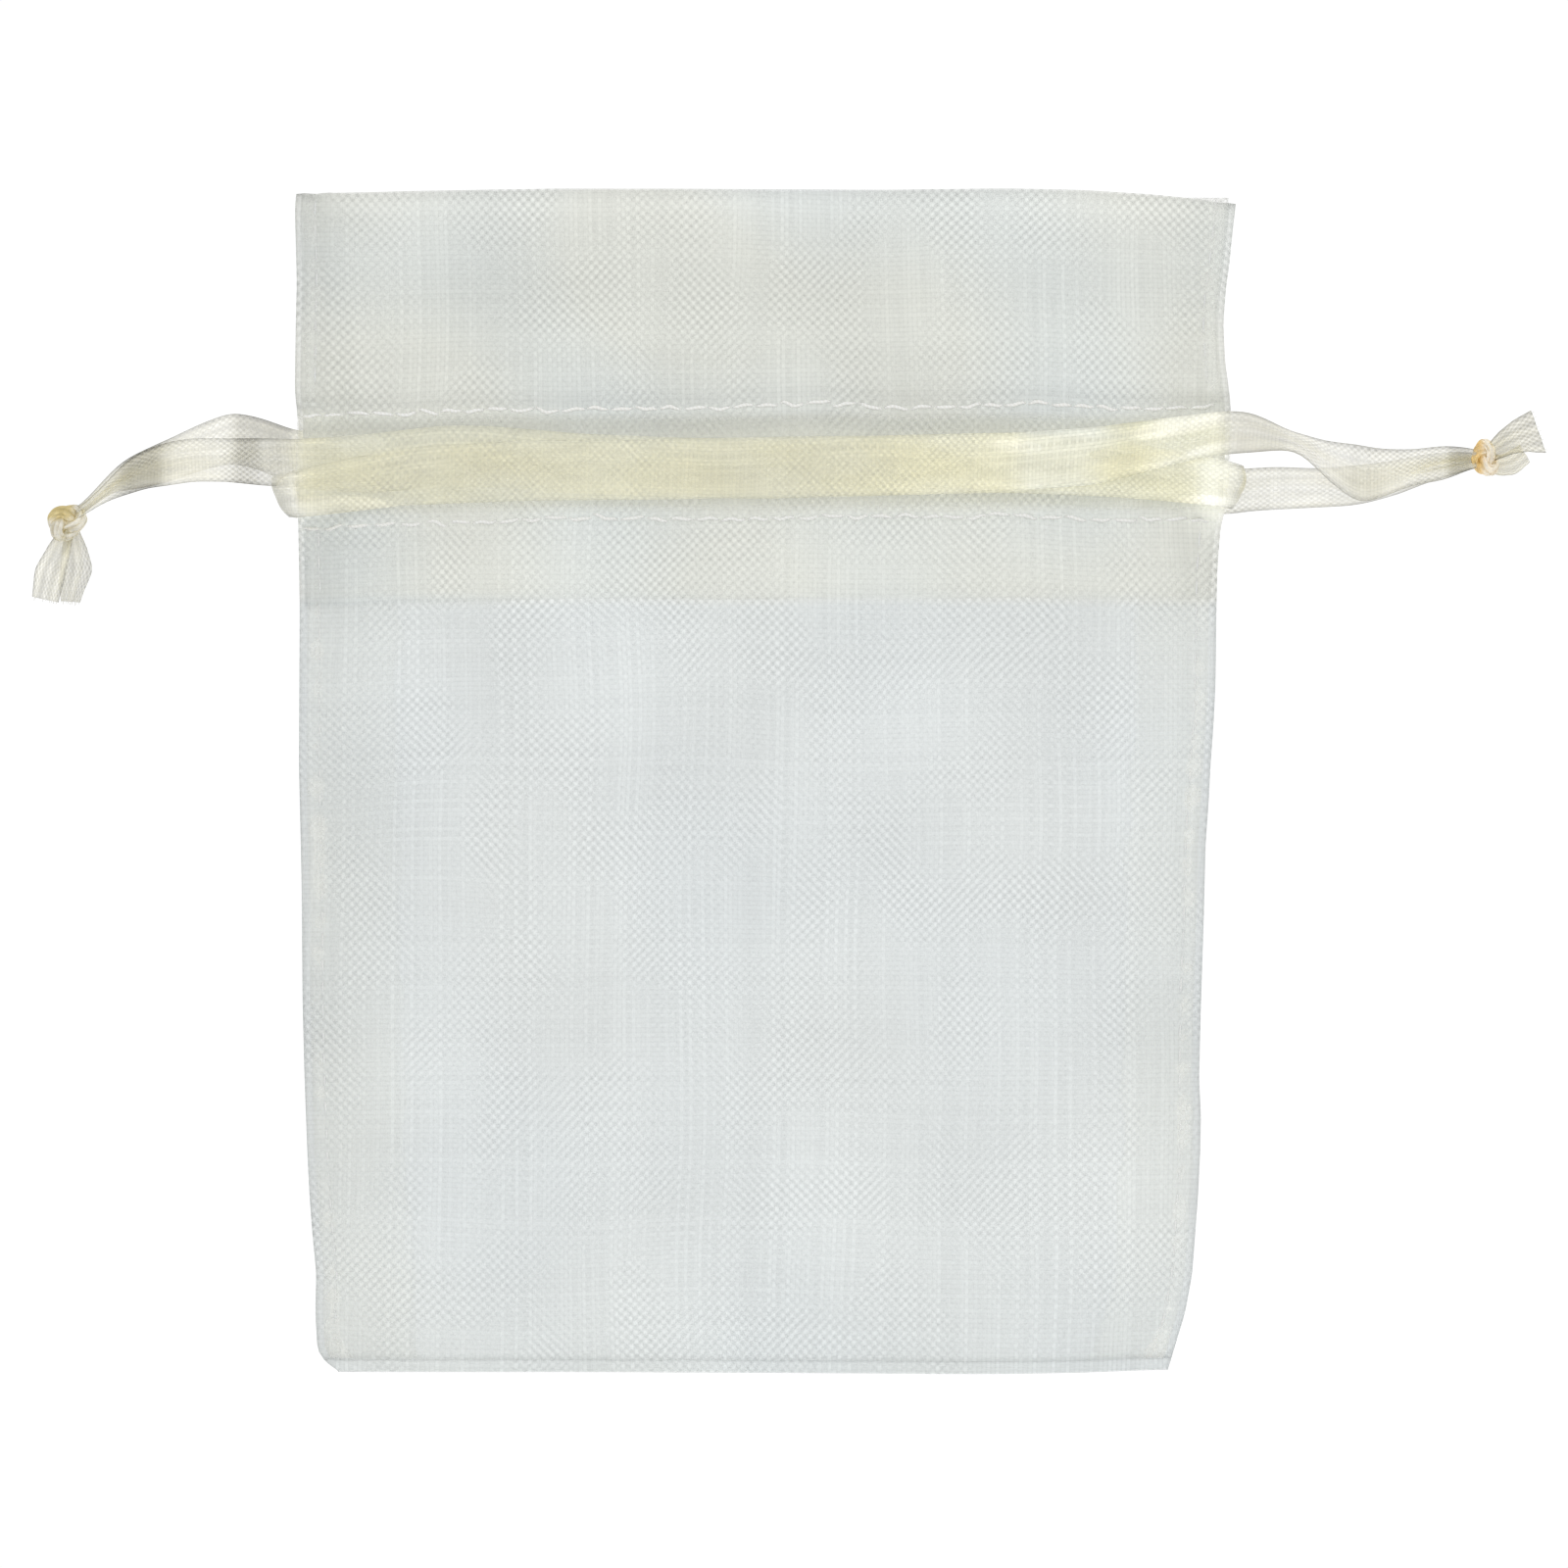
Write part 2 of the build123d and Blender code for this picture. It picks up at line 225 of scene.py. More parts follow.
def outer_depth(x, z, side):
    d = np.minimum(x - left(z), right(z) - x)
    rise = side_rise(d)
    k = lip(z)
    rise = np.maximum(rise, k * (0.94 + 0.06 * rise))
    return DEPTH_OUT(z) * rise * bottom_rise(z) + wrinkle(x, z, side) * bottom_rise(z) * smooth(d / 1.5)


def inner_depth(x, z, side):
    d = np.minimum(x - left(z), right(z) - x) - 0.55
    rise = side_rise(d)
    return np.clip(DEPTH_IN(z) * rise + wrinkle(x, z, side) * smooth(d / 1.5) * 0.9, 0.12, None)


# ---------------------------------------------------------------- gathering and opening
def gather(z):
    """How much of a ribbon's pull the cloth at this height follows."""
    low = smooth((z - 18) / (Z_LO - 18)) ** 1.25
    high = 1 - 0.42 * smooth((z - Z_HI) / (Z_TOP - Z_HI))
    return np.where(z < Z_LO, low, np.where(z > Z_HI, high, 1.0))


PHASE = Noise(41, 30)
PLEAT_N = Noise(42, 14)


def pleat_wave(x, side):
    ph = 2 * np.pi * x / 8.6 + 0.9 * PHASE(x, 5.0 * side) + (0.0 if side < 0 else 1.7)
    return np.sin(ph) + 0.22 * np.sin(2 * ph + 0.6), 0.8 + 0.2 * PLEAT_N(x, 9.0 * side)


def pleat_vector(x, z, side, layer):
    """Displacement at a full pull. layer: 0 outer, 1 inner, 2 seam allowance."""
    w, a = pleat_wave(x, side)
    k = np.where(z < Z_LO, smooth((z - 34) / (Z_LO - 34)) ** 1.4, 1.0)
    up = smooth((z - Z_HI) / (Z_TOP - Z_HI))
    mid = np.clip((z - Z_LO) / (Z_HI - Z_LO), 0, 1) * np.clip((Z_HI - z) / (Z_HI - Z_LO), 0, 1) * 4
    amp = (1.55 + 2.2 * up) * a
    if layer == 0:
        out = k * amp * (1.0 + w) * 0.92 + 0.9 * np.sqrt(mid)
    elif layer == 1:
        free = np.where((z > Z_LO) & (z < Z_HI), 1 - smooth(np.minimum(z - Z_LO, Z_HI - z) / 1.9), 1.0)
        out = k * amp * (1.0 + w) * 0.92 * free - 0.3 * mid
    else:
        out = 0.0 * x
    belly = 3.2 * np.exp(-((z - 52) / 24) ** 2) if layer < 2 else 0.0
    v = np.zeros(np.shape(x) + (3,))
    edge = smooth(np.minimum(x - left(z), right(z) - x) / 5.0)
    v[..., 1] = side * (out * (0.35 + 0.65 * edge) + belly * edge)
    v[..., 2] = -1.2 * k * (0.5 + 0.5 * w) * up
    return v


def open_weight(x, z):
    return np.clip(1 - (x / (X_HALF - 2.5)) ** 2, 0, 1) * smooth((X_HALF - 2.5 - np.abs(x)) / 6)


class Tree:
    """A few helpers to write node trees as expressions."""
    def __init__(self, tree):
        self.t = tree

    def new(self, kind, **props):
        n = self.t.nodes.new(kind)
        for k, v in props.items():
            setattr(n, k, v)
        return n

    def put(self, socket, value):
        if isinstance(value, bpy.types.NodeSocket):
            self.t.links.new(value, socket)
        else:
            socket.default_value = value

    def m(self, op, a, b=0.0, c=0.0, clamp=False):
        n = self.new("ShaderNodeMath", operation=op, use_clamp=clamp)
        self.put(n.inputs[0], a)
        self.put(n.inputs[1], b)
        self.put(n.inputs[2], c)
        return n.outputs[0]

    def add(self, *a):
        out = a[0]
        for q in a[1:]:
            out = self.m("ADD", out, q)
        return out

    def mul(self, *a):
        out = a[0]
        for q in a[1:]:
            out = self.m("MULTIPLY", out, q)
        return out

    def step(self, v, lo, hi, a=0.0, b=1.0):
        n = self.new("ShaderNodeMapRange", interpolation_type="SMOOTHSTEP")
        self.put(n.inputs["Value"], v)
        for name, q in (("From Min", lo), ("From Max", hi), ("To Min", a), ("To Max", b)):
            self.put(n.inputs[name], q)
        return n.outputs["Result"]


def named(t, name, kind="FLOAT"):
    n = t.new("GeometryNodeInputNamedAttribute", data_type=kind)
    n.inputs["Name"].default_value = name
    return n.outputs["Attribute"]


def motion_group(name, cloth):
    """Node group that gathers the cloth as the ribbons are pulled and bows the layers as the mouth opens."""
    g = bpy.data.node_groups.new(name, "GeometryNodeTree")
    g.interface.new_socket("Geometry", in_out="INPUT", socket_type="NodeSocketGeometry")
    g.interface.new_socket("Geometry", in_out="OUTPUT", socket_type="NodeSocketGeometry")
    t = Tree(g)
    gin, gout = t.new("NodeGroupInput"), t.new("NodeGroupOutput")

    def info(body):
        n = t.new("GeometryNodeObjectInfo", transform_space="ORIGINAL")
        n.inputs["Object"].default_value = frame["bodies"][body]
        return n

    def part(vec, i):
        n = t.new("ShaderNodeSeparateXYZ")
        t.put(n.inputs[0], vec)
        return n.outputs[i]

    pull_l = t.m("MULTIPLY", part(info("left_ribbon").outputs["Location"], 0), -1.0 / (PULL * MM), clamp=True)
    pull_r = t.m("MULTIPLY", part(info("right_ribbon").outputs["Location"], 0), 1.0 / (PULL * MM), clamp=True)
    rot = t.new("FunctionNodeRotationToEuler")
    t.put(rot.inputs[0], info("front").outputs["Rotation"])
    theta = part(rot.outputs[0], 0)
    opened = t.m("MULTIPLY", theta, 1.0 / OPEN, clamp=True)
    cinch = t.m("MULTIPLY", t.add(pull_l, pull_r), 0.5, clamp=True)
    pos = t.new("GeometryNodeInputPosition").outputs[0]
    px, py, pz = (part(pos, i) for i in range(3))
    sp = t.new("GeometryNodeSetPosition")
    t.put(sp.inputs["Geometry"], gin.outputs[0])
    move = t.new("ShaderNodeCombineXYZ")
    if cloth:
        x0, z0 = named(t, "rest_x"), named(t, "rest_z")
        gz, bow, sign = named(t, "gather"), named(t, "bow"), named(t, "side")
        s = t.add(t.mul(pull_r, t.step(x0, -0.008, 0.008, 1.0, 0.0)), t.mul(pull_l, t.step(x0, -0.008, 0.008)))
        dx = t.mul(gz, x0, s, -PULL / (X_HALF - 1.2))
        zn = t.m("DIVIDE", z0, Z_TOP * MM)
        dx2 = t.mul(x0, t.mul(zn, zn), t.mul(opened, opened), -0.085)
        share = t.m("POWER", s, 0.62)
        pv = named(t, "pleat", "FLOAT_VECTOR")
        back = t.mul(t.m("SUBTRACT", z0, HINGE_Z * MM), t.m("SINE", t.mul(bow, theta)), t.mul(cinch, gz, 0.72), t.mul(sign, -1.0))
        t.put(move.inputs[0], t.add(dx, dx2))
        t.put(move.inputs[1], t.add(t.mul(part(pv, 1), share), back))
        t.put(move.inputs[2], t.mul(part(pv, 2), share))
    else:
        sign = named(t, "side")
        s = t.add(t.mul(pull_r, t.step(px, -0.002, 0.002, 1.0, 0.0)), t.mul(pull_l, t.step(px, -0.002, 0.002)))
        x0 = t.m("DIVIDE", px, t.m("SUBTRACT", 1.0, t.mul(s, PULL / (X_HALF - 1.2))))
        ax = t.m("ABSOLUTE", x0)
        xx = t.m("DIVIDE", x0, (X_HALF - 2.5) * MM)
        w = t.mul(t.m("SUBTRACT", 1.0, t.mul(xx, xx), clamp=True), t.step(ax, (X_HALF - 8.5) * MM, (X_HALF - 2.5) * MM, 1.0, 0.0))
        less = t.m("SUBTRACT", 1.0, t.mul(cinch, 0.72))
        high = t.m("SUBTRACT", pz, HINGE_Z * MM)
        turn = t.mul(w, theta)
        t.put(move.inputs[1], t.mul(high, t.m("SINE", turn), sign, less))
        t.put(move.inputs[2], t.add(t.mul(high, t.m("SUBTRACT", t.m("COSINE", turn), 1.0)), t.mul(t.m("ABSOLUTE", py), t.m("SINE", turn), -1.0)))
        zn = t.m("DIVIDE", pz, Z_TOP * MM)
        xc = t.m("MAXIMUM", t.m("MINIMUM", x0, X_HALF * MM), -X_HALF * MM)
        fade = t.step(t.m("ABSOLUTE", px), (X_HALF + 4) * MM, (X_HALF + 18) * MM, 1.0, 0.0)
        t.put(move.inputs[0], t.mul(xc, t.mul(zn, zn), t.mul(opened, opened), t.mul(fade, -0.085)))
        # a length drawn out of the casing loses the raised tone (painted light) and the warmth that it has inside
        out = t.m("SUBTRACT", t.step(ax, (X_HALF - 1.5) * MM, (X_HALF + 1.0) * MM, 1.0, 0.0), named(t, "inside"))
        change = t.new("ShaderNodeCombineXYZ")
        t.put(change.inputs[0], t.mul(out, 0.32))
        t.put(change.inputs[1], t.mul(out, 0.68))
        total = t.new("ShaderNodeVectorMath", operation="ADD")
        t.put(total.inputs[0], named(t, "tone", "FLOAT_VECTOR"))
        t.put(total.inputs[1], change.outputs[0])
        store = t.new("GeometryNodeStoreNamedAttribute", data_type="FLOAT_VECTOR", domain="POINT")
        store.inputs["Name"].default_value = "tone"
        t.put(store.inputs["Geometry"], sp.inputs["Geometry"].links[0].from_socket)
        t.put(store.inputs["Value"], total.outputs[0])
        t.put(sp.inputs["Geometry"], store.outputs[0])
    t.put(sp.inputs["Offset"], move.outputs[0])
    t.put(gout.inputs[0], sp.outputs[0])
    return g


CLOTH_MOTION = motion_group("cloth_motion", True)
RIBBON_MOTION = motion_group("ribbon_motion", False)


def mesh_object(name, verts, faces, mat, weave=None, attrs=None):
    """A mesh in millimetres, with its weave coordinates and its named values."""
    me = bpy.data.meshes.new(name)
    me.from_pydata((np.asarray(verts) * MM).tolist(), [], [list(map(int, f)) for f in faces])
    me.update()
    for p in me.polygons:
        p.use_smooth = True
    ob = bpy.data.objects.new(name, me)
    scene.collection.objects.link(ob)
    if mat is not None:
        me.materials.append(mat)
    if weave is not None:
        a = me.attributes.new("weave", "FLOAT_VECTOR", "POINT")
        a.data.foreach_set("vector", np.asarray(weave, np.float32).ravel())
    for k, v in (attrs or {}).items():
        if np.ndim(v) == 2:
            a = me.attributes.new(k, "FLOAT_VECTOR", "POINT")
            a.data.foreach_set("vector", np.asarray(v, np.float32).ravel())
        else:
            a = me.attributes.new(k, "FLOAT", "POINT")
            a.data.foreach_set("value", np.asarray(v, np.float32).ravel())
    return ob


def grid_faces(nr, nc, close=False, flip=False):
    out = []
    for r in range(nr - 1):
        for c in range(nc if close else nc - 1):
            a, b = r * nc + c, r * nc + (c + 1) % nc
            q = [a, b, b + nc, a + nc]
            out.append(q[::-1] if flip else q)
    return out


def cloth_attrs(v, side, layer):
    x, z = v[:, 0], v[:, 2]
    return {"rest_x": x * MM, "rest_z": z * MM, "gather": gather(z), "bow": open_weight(x, z) if layer < 2 else 0 * x,
            "side": np.full(len(x), float(side)), "pleat": pleat_vector(x, z, side, layer) * MM}


def add_motion(ob, group):
    m = ob.modifiers.new("motion", "NODES")
    m.node_group = group
    return m


def add_thickness(ob, t):
    m = ob.modifiers.new("thickness", "SOLIDIFY")
    m.thickness = t * MM
    m.offset = 0.0
    m.use_even_offset = False
    return m


def rig_cloth(ob):
    """Front and back cloth bend between the pouch and their own body."""
    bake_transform(ob)
    add_motion(ob, CLOTH_MOTION)


# ---------------------------------------------------------------- materials
def srgb(r, g, b):
    return tuple(((c / 255) / 12.92 if c / 255 <= 0.04045 else ((c / 255 + 0.055) / 1.055) ** 2.4) for c in (r, g, b))


def organza(name, base, tint, pitch, cover, alpha, streak=0.05, checker=0.10, gloss=0.05, selvedge=0.0, holes=0.12, swing=0.10):
    """Plain weave of clear filament: round warp and weft threads that pass over and under, with open holes between them.
    Only rays from the camera see single threads; light passes through the weave's average, which is what it does at this scale."""
    mat = bpy.data.materials.new(name)
    mat.use_nodes = True
    t = Tree(mat.node_tree)
    mat.node_tree.nodes.clear()
    out = t.new("ShaderNodeOutputMaterial")
    at = t.new("ShaderNodeAttribute", attribute_name="weave")
    ton = t.new("ShaderNodeAttribute", attribute_name="tone")
    sep = t.new("ShaderNodeSeparateXYZ")
    t.put(sep.inputs[0], at.outputs["Vector"])
    tn = t.new("ShaderNodeSeparateXYZ")
    t.put(tn.inputs[0], ton.outputs["Vector"])
    u, v = t.mul(sep.outputs[0], 1.0 / pitch), t.mul(sep.outputs[1], 1.0 / (pitch * 1.03))
    fu, fv = t.m("FRACT", u), t.m("FRACT", v)
    iu, iv = t.m("FLOOR", u), t.m("FLOOR", v)
    du = t.m("ABSOLUTE", t.m("SUBTRACT", fu, 0.5))
    dv = t.m("ABSOLUTE", t.m("SUBTRACT", fv, 0.5))
    half = cover / 2
    warp = t.step(du, half - 0.06, half + 0.06, 1.0, 0.0)
    weft = t.step(dv, half - 0.06, half + 0.06, 1.0, 0.0)
    par = t.m("PINGPONG", t.add(iu, iv), 1.0)                      # 0 where the warp passes over, 1 where the weft does
    crown_u = t.m("SUBTRACT", 1.0, t.mul(du, du, 3.0))
    crown_v = t.m("SUBTRACT", 1.0, t.mul(dv, dv, 3.0))
    top_warp = t.mul(warp, t.m("SUBTRACT", 1.0, t.mul(par, weft)))
    tone_u = t.new("ShaderNodeTexWhiteNoise", noise_dimensions="1D")
    t.put(tone_u.inputs["W"], iu)
    tone_v = t.new("ShaderNodeTexWhiteNoise", noise_dimensions="1D")
    t.put(tone_v.inputs["W"], t.add(iv, 71.3))
    su = t.mul(t.m("SUBTRACT", tone_u.outputs["Value"], 0.5), streak, t.add(1.7, t.mul(tn.outputs[2], -1.3)))
    sv = t.mul(t.m("SUBTRACT", tone_v.outputs["Value"], 0.5), streak, 0.6)
    # painted light on the threads: each thread lighter at its crown and darker at its sides, and the cell term lighter
    # where the warp lies on top and darker where the weft does
    warp_tone = t.add(1.0, su, t.mul(crown_v, checker * 0.4), -0.3 * checker)
    weft_tone = t.add(1.0, sv, t.mul(crown_u, checker * 0.4), -0.3 * checker)
    cell = t.mul(t.m("SINE", t.mul(u, math.pi)), t.m("SINE", t.mul(v, math.pi)), t.add(0.10, t.mul(tn.outputs[2], 1.6)))   # + where the warp lies on top, - where the weft does
    tone = t.add(t.mul(warp_tone, top_warp), t.mul(weft_tone, t.m("SUBTRACT", 1.0, top_warp)), t.mul(cell, checker))
    tone = t.mul(tone, tn.outputs[0])
    mix = t.new("ShaderNodeMix", data_type="RGBA")
    t.put(mix.inputs[0], tn.outputs[1])
    mix.inputs[6].default_value = (*base, 1)
    mix.inputs[7].default_value = (*tint, 1)
    shade = t.new("ShaderNodeMix", data_type="RGBA", blend_type="MULTIPLY")
    shade.inputs[0].default_value = 1.0
    t.put(shade.inputs[6], mix.outputs[2])
    t.put(shade.inputs[7], tone)
    line = cover * alpha
    mean = 1 - (1 - line) ** 2
    woven = t.m("SUBTRACT", 1.0, t.mul(t.m("SUBTRACT", 1.0, t.mul(warp, alpha)), t.m("SUBTRACT", 1.0, t.mul(weft, alpha))))
    cov = t.add(mean * (1 - holes), t.mul(woven, holes), t.mul(cell, -swing))
    cov = t.m("MULTIPLY", cov, t.m("SUBTRACT", 1.0, sep.outputs[2]), clamp=True)
    if selvedge:
        sv_ = t.new("ShaderNodeAttribute", attribute_name="selv")
        cov = t.m("MAXIMUM", cov, t.mul(sv_.outputs["Fac"], selvedge))
    height = t.add(t.mul(crown_u, top_warp), t.mul(crown_v, t.m("SUBTRACT", 1.0, top_warp), 0.8))
    bump = t.new("ShaderNodeBump")
    bump.inputs["Strength"].default_value = 0.35
    bump.inputs["Distance"].default_value = 0.00006
    t.put(bump.inputs["Height"], height)

    def cloth(colour, normal, share):
        diff, trans = t.new("ShaderNodeBsdfDiffuse"), t.new("ShaderNodeBsdfTranslucent")
        for n in (diff, trans):
            t.put(n.inputs["Color"], colour)
            if normal is not None:
                t.put(n.inputs["Normal"], normal)
        m1 = t.new("ShaderNodeMixShader")
        m1.inputs[0].default_value = 0.45
        t.put(m1.inputs[1], diff.outputs[0])
        t.put(m1.inputs[2], trans.outputs[0])
        top = m1
        if normal is not None and gloss:
            glos = t.new("ShaderNodeBsdfGlossy")
            glos.inputs["Roughness"].default_value = 0.42
            t.put(glos.inputs["Normal"], normal)
            m3 = t.new("ShaderNodeMixShader")
            m3.inputs[0].default_value = gloss
            t.put(m3.inputs[1], m1.outputs[0])
            t.put(m3.inputs[2], glos.outputs[0])
            top = m3
        clear = t.new("ShaderNodeBsdfTransparent")
        fin = t.new("ShaderNodeMixShader")
        t.put(fin.inputs[0], share)
        t.put(fin.inputs[1], clear.outputs[0])
        t.put(fin.inputs[2], top.outputs[0])
        return fin.outputs[0]

    near_ = cloth(shade.outputs[2], bump.outputs[0], cov)
    far_ = cloth((*[(a + b) / 2 for a, b in zip(base, tint)], 1), None, mean)
    lp = t.new("ShaderNodeLightPath")
    pick = t.new("ShaderNodeMixShader")
    t.put(pick.inputs[0], lp.outputs["Is Camera Ray"])
    t.put(pick.inputs[1], far_)
    t.put(pick.inputs[2], near_)
    t.put(out.inputs["Surface"], pick.outputs[0])
    mat.diffuse_color = (*base, 1)
    return mat


TINT, TONE, AMP, WOB_A, WOB_B = Noise(71, 34), Noise(72, 22), Noise(73, 16), Noise(74, 30), Noise(75, 34)


def dress(ob, weave, turn, seed, tint=None, tone_amp=0.02, wobble=0.18, zone=1.0, thin=0.0, gain=1.0):
    """Stores where each point is in the weave (with the threads' slow wander) and its tone, tint and streak strength."""
    w = np.asarray(weave, float).copy()
    x, y = w[:, 0], w[:, 1]
    c, s = math.cos(math.radians(turn)), math.sin(math.radians(turn))
    dx, dy = wobble * WOB_A(x + 31 * seed, y), wobble * WOB_B(x, y + 17 * seed)
    w[:, 0], w[:, 1] = c * x - s * y + dx, s * x + c * y + dy
    # zone scales the tone; callers pass painted light and shade in it along with the cloth's own tone
    tone = (1 + tone_amp * TONE(x + 13 * seed, y)) * zone
    w[:, 2] = thin
    tn = np.clip(0.5 + 0.32 * TINT(x, y + 23 * seed), 0, 1) if tint is None else tint
    amp = np.clip(0.55 + 0.55 * AMP(x * 1.5 + 7 * seed, y * 1.0), 0, 1) * gain
    for name, val in (("weave", w), ("tone", np.stack([tone, tn, amp], -1))):
        a = ob.data.attributes.get(name) or ob.data.attributes.new(name, "FLOAT_VECTOR", "POINT")
        a.data.foreach_set("vector", np.asarray(val, np.float32).ravel())


def thread_material(name, base, dark):
    """Twisted sewing thread: slanting ply lines along each stitch."""
    mat = bpy.data.materials.new(name)
    mat.use_nodes = True
    t = Tree(mat.node_tree)
    b = mat.node_tree.nodes["Principled BSDF"]
    at = t.new("ShaderNodeAttribute", attribute_name="weave")
    sep = t.new("ShaderNodeSeparateXYZ")
    t.put(sep.inputs[0], at.outputs["Vector"])
    ply = t.m("SINE", t.add(t.mul(sep.outputs[0], 16.0), t.mul(sep.outputs[1], 6.2832)))
    fac = t.add(0.5, t.mul(ply, 0.5))
    # the ply grooves take the dark colour where the bump is low: painted shade
    mix = t.new("ShaderNodeMix", data_type="RGBA")
    t.put(mix.inputs[0], fac)
    mix.inputs[6].default_value = (*dark, 1)
    mix.inputs[7].default_value = (*base, 1)
    t.put(b.inputs["Base Color"], mix.outputs[2])
    b.inputs["Roughness"].default_value = 0.45
    b.inputs["Sheen Weight"].default_value = 0.3
    bump = t.new("ShaderNodeBump")
    bump.inputs["Strength"].default_value = 0.5
    bump.inputs["Distance"].default_value = 0.00003
    t.put(bump.inputs["Height"], fac)
    t.put(b.inputs["Normal"], bump.outputs[0])
    return mat


M_FRONT = organza("organza_front", (0.93, 0.965, 0.985), (0.98, 0.975, 0.925), 0.478, 0.62, 0.46, streak=0.10, checker=0.125)
M_BACK = organza("organza_back", (0.93, 0.965, 0.985), (0.98, 0.975, 0.925), 0.486, 0.62, 0.46, streak=0.10, checker=0.165)
M_ALLOW = organza("organza_allowance", (0.98, 0.98, 0.965), (0.985, 0.98, 0.94), 0.472, 0.66, 0.22, streak=0.10, checker=0.08)
M_RIB_L = organza("ribbon_left", (0.97, 0.97, 0.945), (0.99, 0.945, 0.73), 0.36, 0.65, 0.42, streak=0.20, checker=0.16, gloss=0.08, selvedge=0.66, holes=0.10, swing=0.07)
M_RIB_R = organza("ribbon_right", (0.975, 0.975, 0.95), (0.99, 0.945, 0.73), 0.37, 0.65, 0.42, streak=0.20, checker=0.16, gloss=0.08, selvedge=0.66, holes=0.10, swing=0.07)
M_KNOT = organza("ribbon_knot_left", (0.985, 0.985, 0.945), (0.78, 0.65, 0.28), 0.34, 0.85, 0.80, streak=0.22, checker=0.08, gloss=0.12, holes=0.3)
M_KNOT_R = organza("ribbon_knot_right", (0.99, 0.985, 0.92), (0.93, 0.70, 0.31), 0.34, 0.85, 0.80, streak=0.22, checker=0.08, gloss=0.12, holes=0.3)
M_THREAD = thread_material("sewing_thread", (0.985, 0.985, 0.96), (0.90, 0.895, 0.85))
M_SEAM = thread_material("seam_thread", (0.86, 0.87, 0.86), (0.80, 0.81, 0.79))
M_LOWER = thread_material("lower_thread", (0.95, 0.95, 0.925), (0.87, 0.87, 0.83))


# ---------------------------------------------------------------- cloth
NC = 133
_t = np.linspace(-1, 1, NC)
COLS = 0.86 * _t + 0.14 * np.sin(np.pi * _t / 2)


def column_xz(zn, inset):
    """x and z of every column at one nominal level."""
    x = COLS * 46.0
    for _ in range(3):
        z = warp_z(x, np.full(NC, zn))
        lo, hi = left(z) + inset, right(z) - inset
        x = lo + (COLS + 1) / 2 * (hi - lo)
    return x, z


def levels(a, b, step):
    n = max(2, int(round(abs(b - a) / step)) + 1)
    return np.linspace(a, b, n)


def cloth_zones(x, z, layer, side):
    """Tone, warmth and openness of the cloth. The tone holds painted light: raised on the casing and frill and lowered
    on the lower panel to even out the light that stacked layers lose, painted light and shade along the stitch lines,
    and painted highlights where the ribbon loops turn at the casing ends.
    """
    frill = smooth((z - Z_HI) / 3)
    casing = smooth((z - Z_LO - 0.4) / 1.2) * smooth((Z_HI - 0.2 - z) / 1.2)
    panel = smooth((Z_HEM + 0.6 - z) / 1.2)
    up, lo = z - (Z_HI + UPPER(x)), z - (Z_LO + LOWER(x))
    # painted light: lighter casing and frill, darker lower panel, evening out how much light the stacked layers let
    # through
    zone = 1.0 + 0.04 * casing - 0.05 * panel + 0.02 * near(z, 83, 3) - 0.045 * smooth((72 - z) / 18)
    zone = zone + frill * (0.055 * smooth((111 - z) / 5) - 0.025 + 0.11 * near(x, X_HALF, 5.5)) + (0.09 * casing + 0.025 * frill) * smooth((x - 4) / 26)
    # painted light and shade along the stitch lines: lighter on the lines, darker just beside them, and a painted
    # shadow line under the upper stitches
    zone = zone + 0.09 * near(up, 0.0, 0.40) - 0.05 * near(up, 1.0, 0.6) - (0.12 - 0.04 * smooth((x - 4) / 26)) * near(up, -1.6, 0.8) + 0.08 * near(lo, 0.2, 0.9) - 0.02 * near(lo, 1.1, 0.6)
    # darker along the mouth edge
    zone = zone - 0.10 * smooth((z - Z_TOP - MOUTH(x) + 0.75) / 0.5)
    edge = np.minimum(x - left(z), right(z) - x)
    # darker along the folded side edges, lighter along the seam line
    zone = zone - 0.035 * near(edge, 0.9, 0.8) + 0.03 * near(edge, SEAM_IN + 0.25, 0.5)
    # painted highlights where the ribbon loops turn at the casing ends; lighter along the lower casing on the left and
    # at the frill's left end
    zone = zone + 0.44 * near(x, X_HALF - 0.7, 2.6) * near(z, Z_LO + 1.4, 3.0) + 0.34 * near(x, -X_HALF, 3.0) * near(z, Z_LO + 0.6, 2.0)
    zone = zone + 0.06 * near(z, Z_LO + 1.6, 1.3) * smooth((-14 - x) / 12) + 0.06 * frill * near(x, -X_HALF, 9.0)
    warm = np.clip(0.5 + 0.30 * TINT(x, z + 23 * side), 0, 1)
    warm = np.clip(warm * (1 - 0.75 * panel) + 0.25 * (1 - panel) + 0.5 * casing, 0, 1)
    thin = (0.62 + 0.24 * smooth((x - 2) / 26)) * casing * (layer == 0) * (side < 0)
    return zone, warm, thin


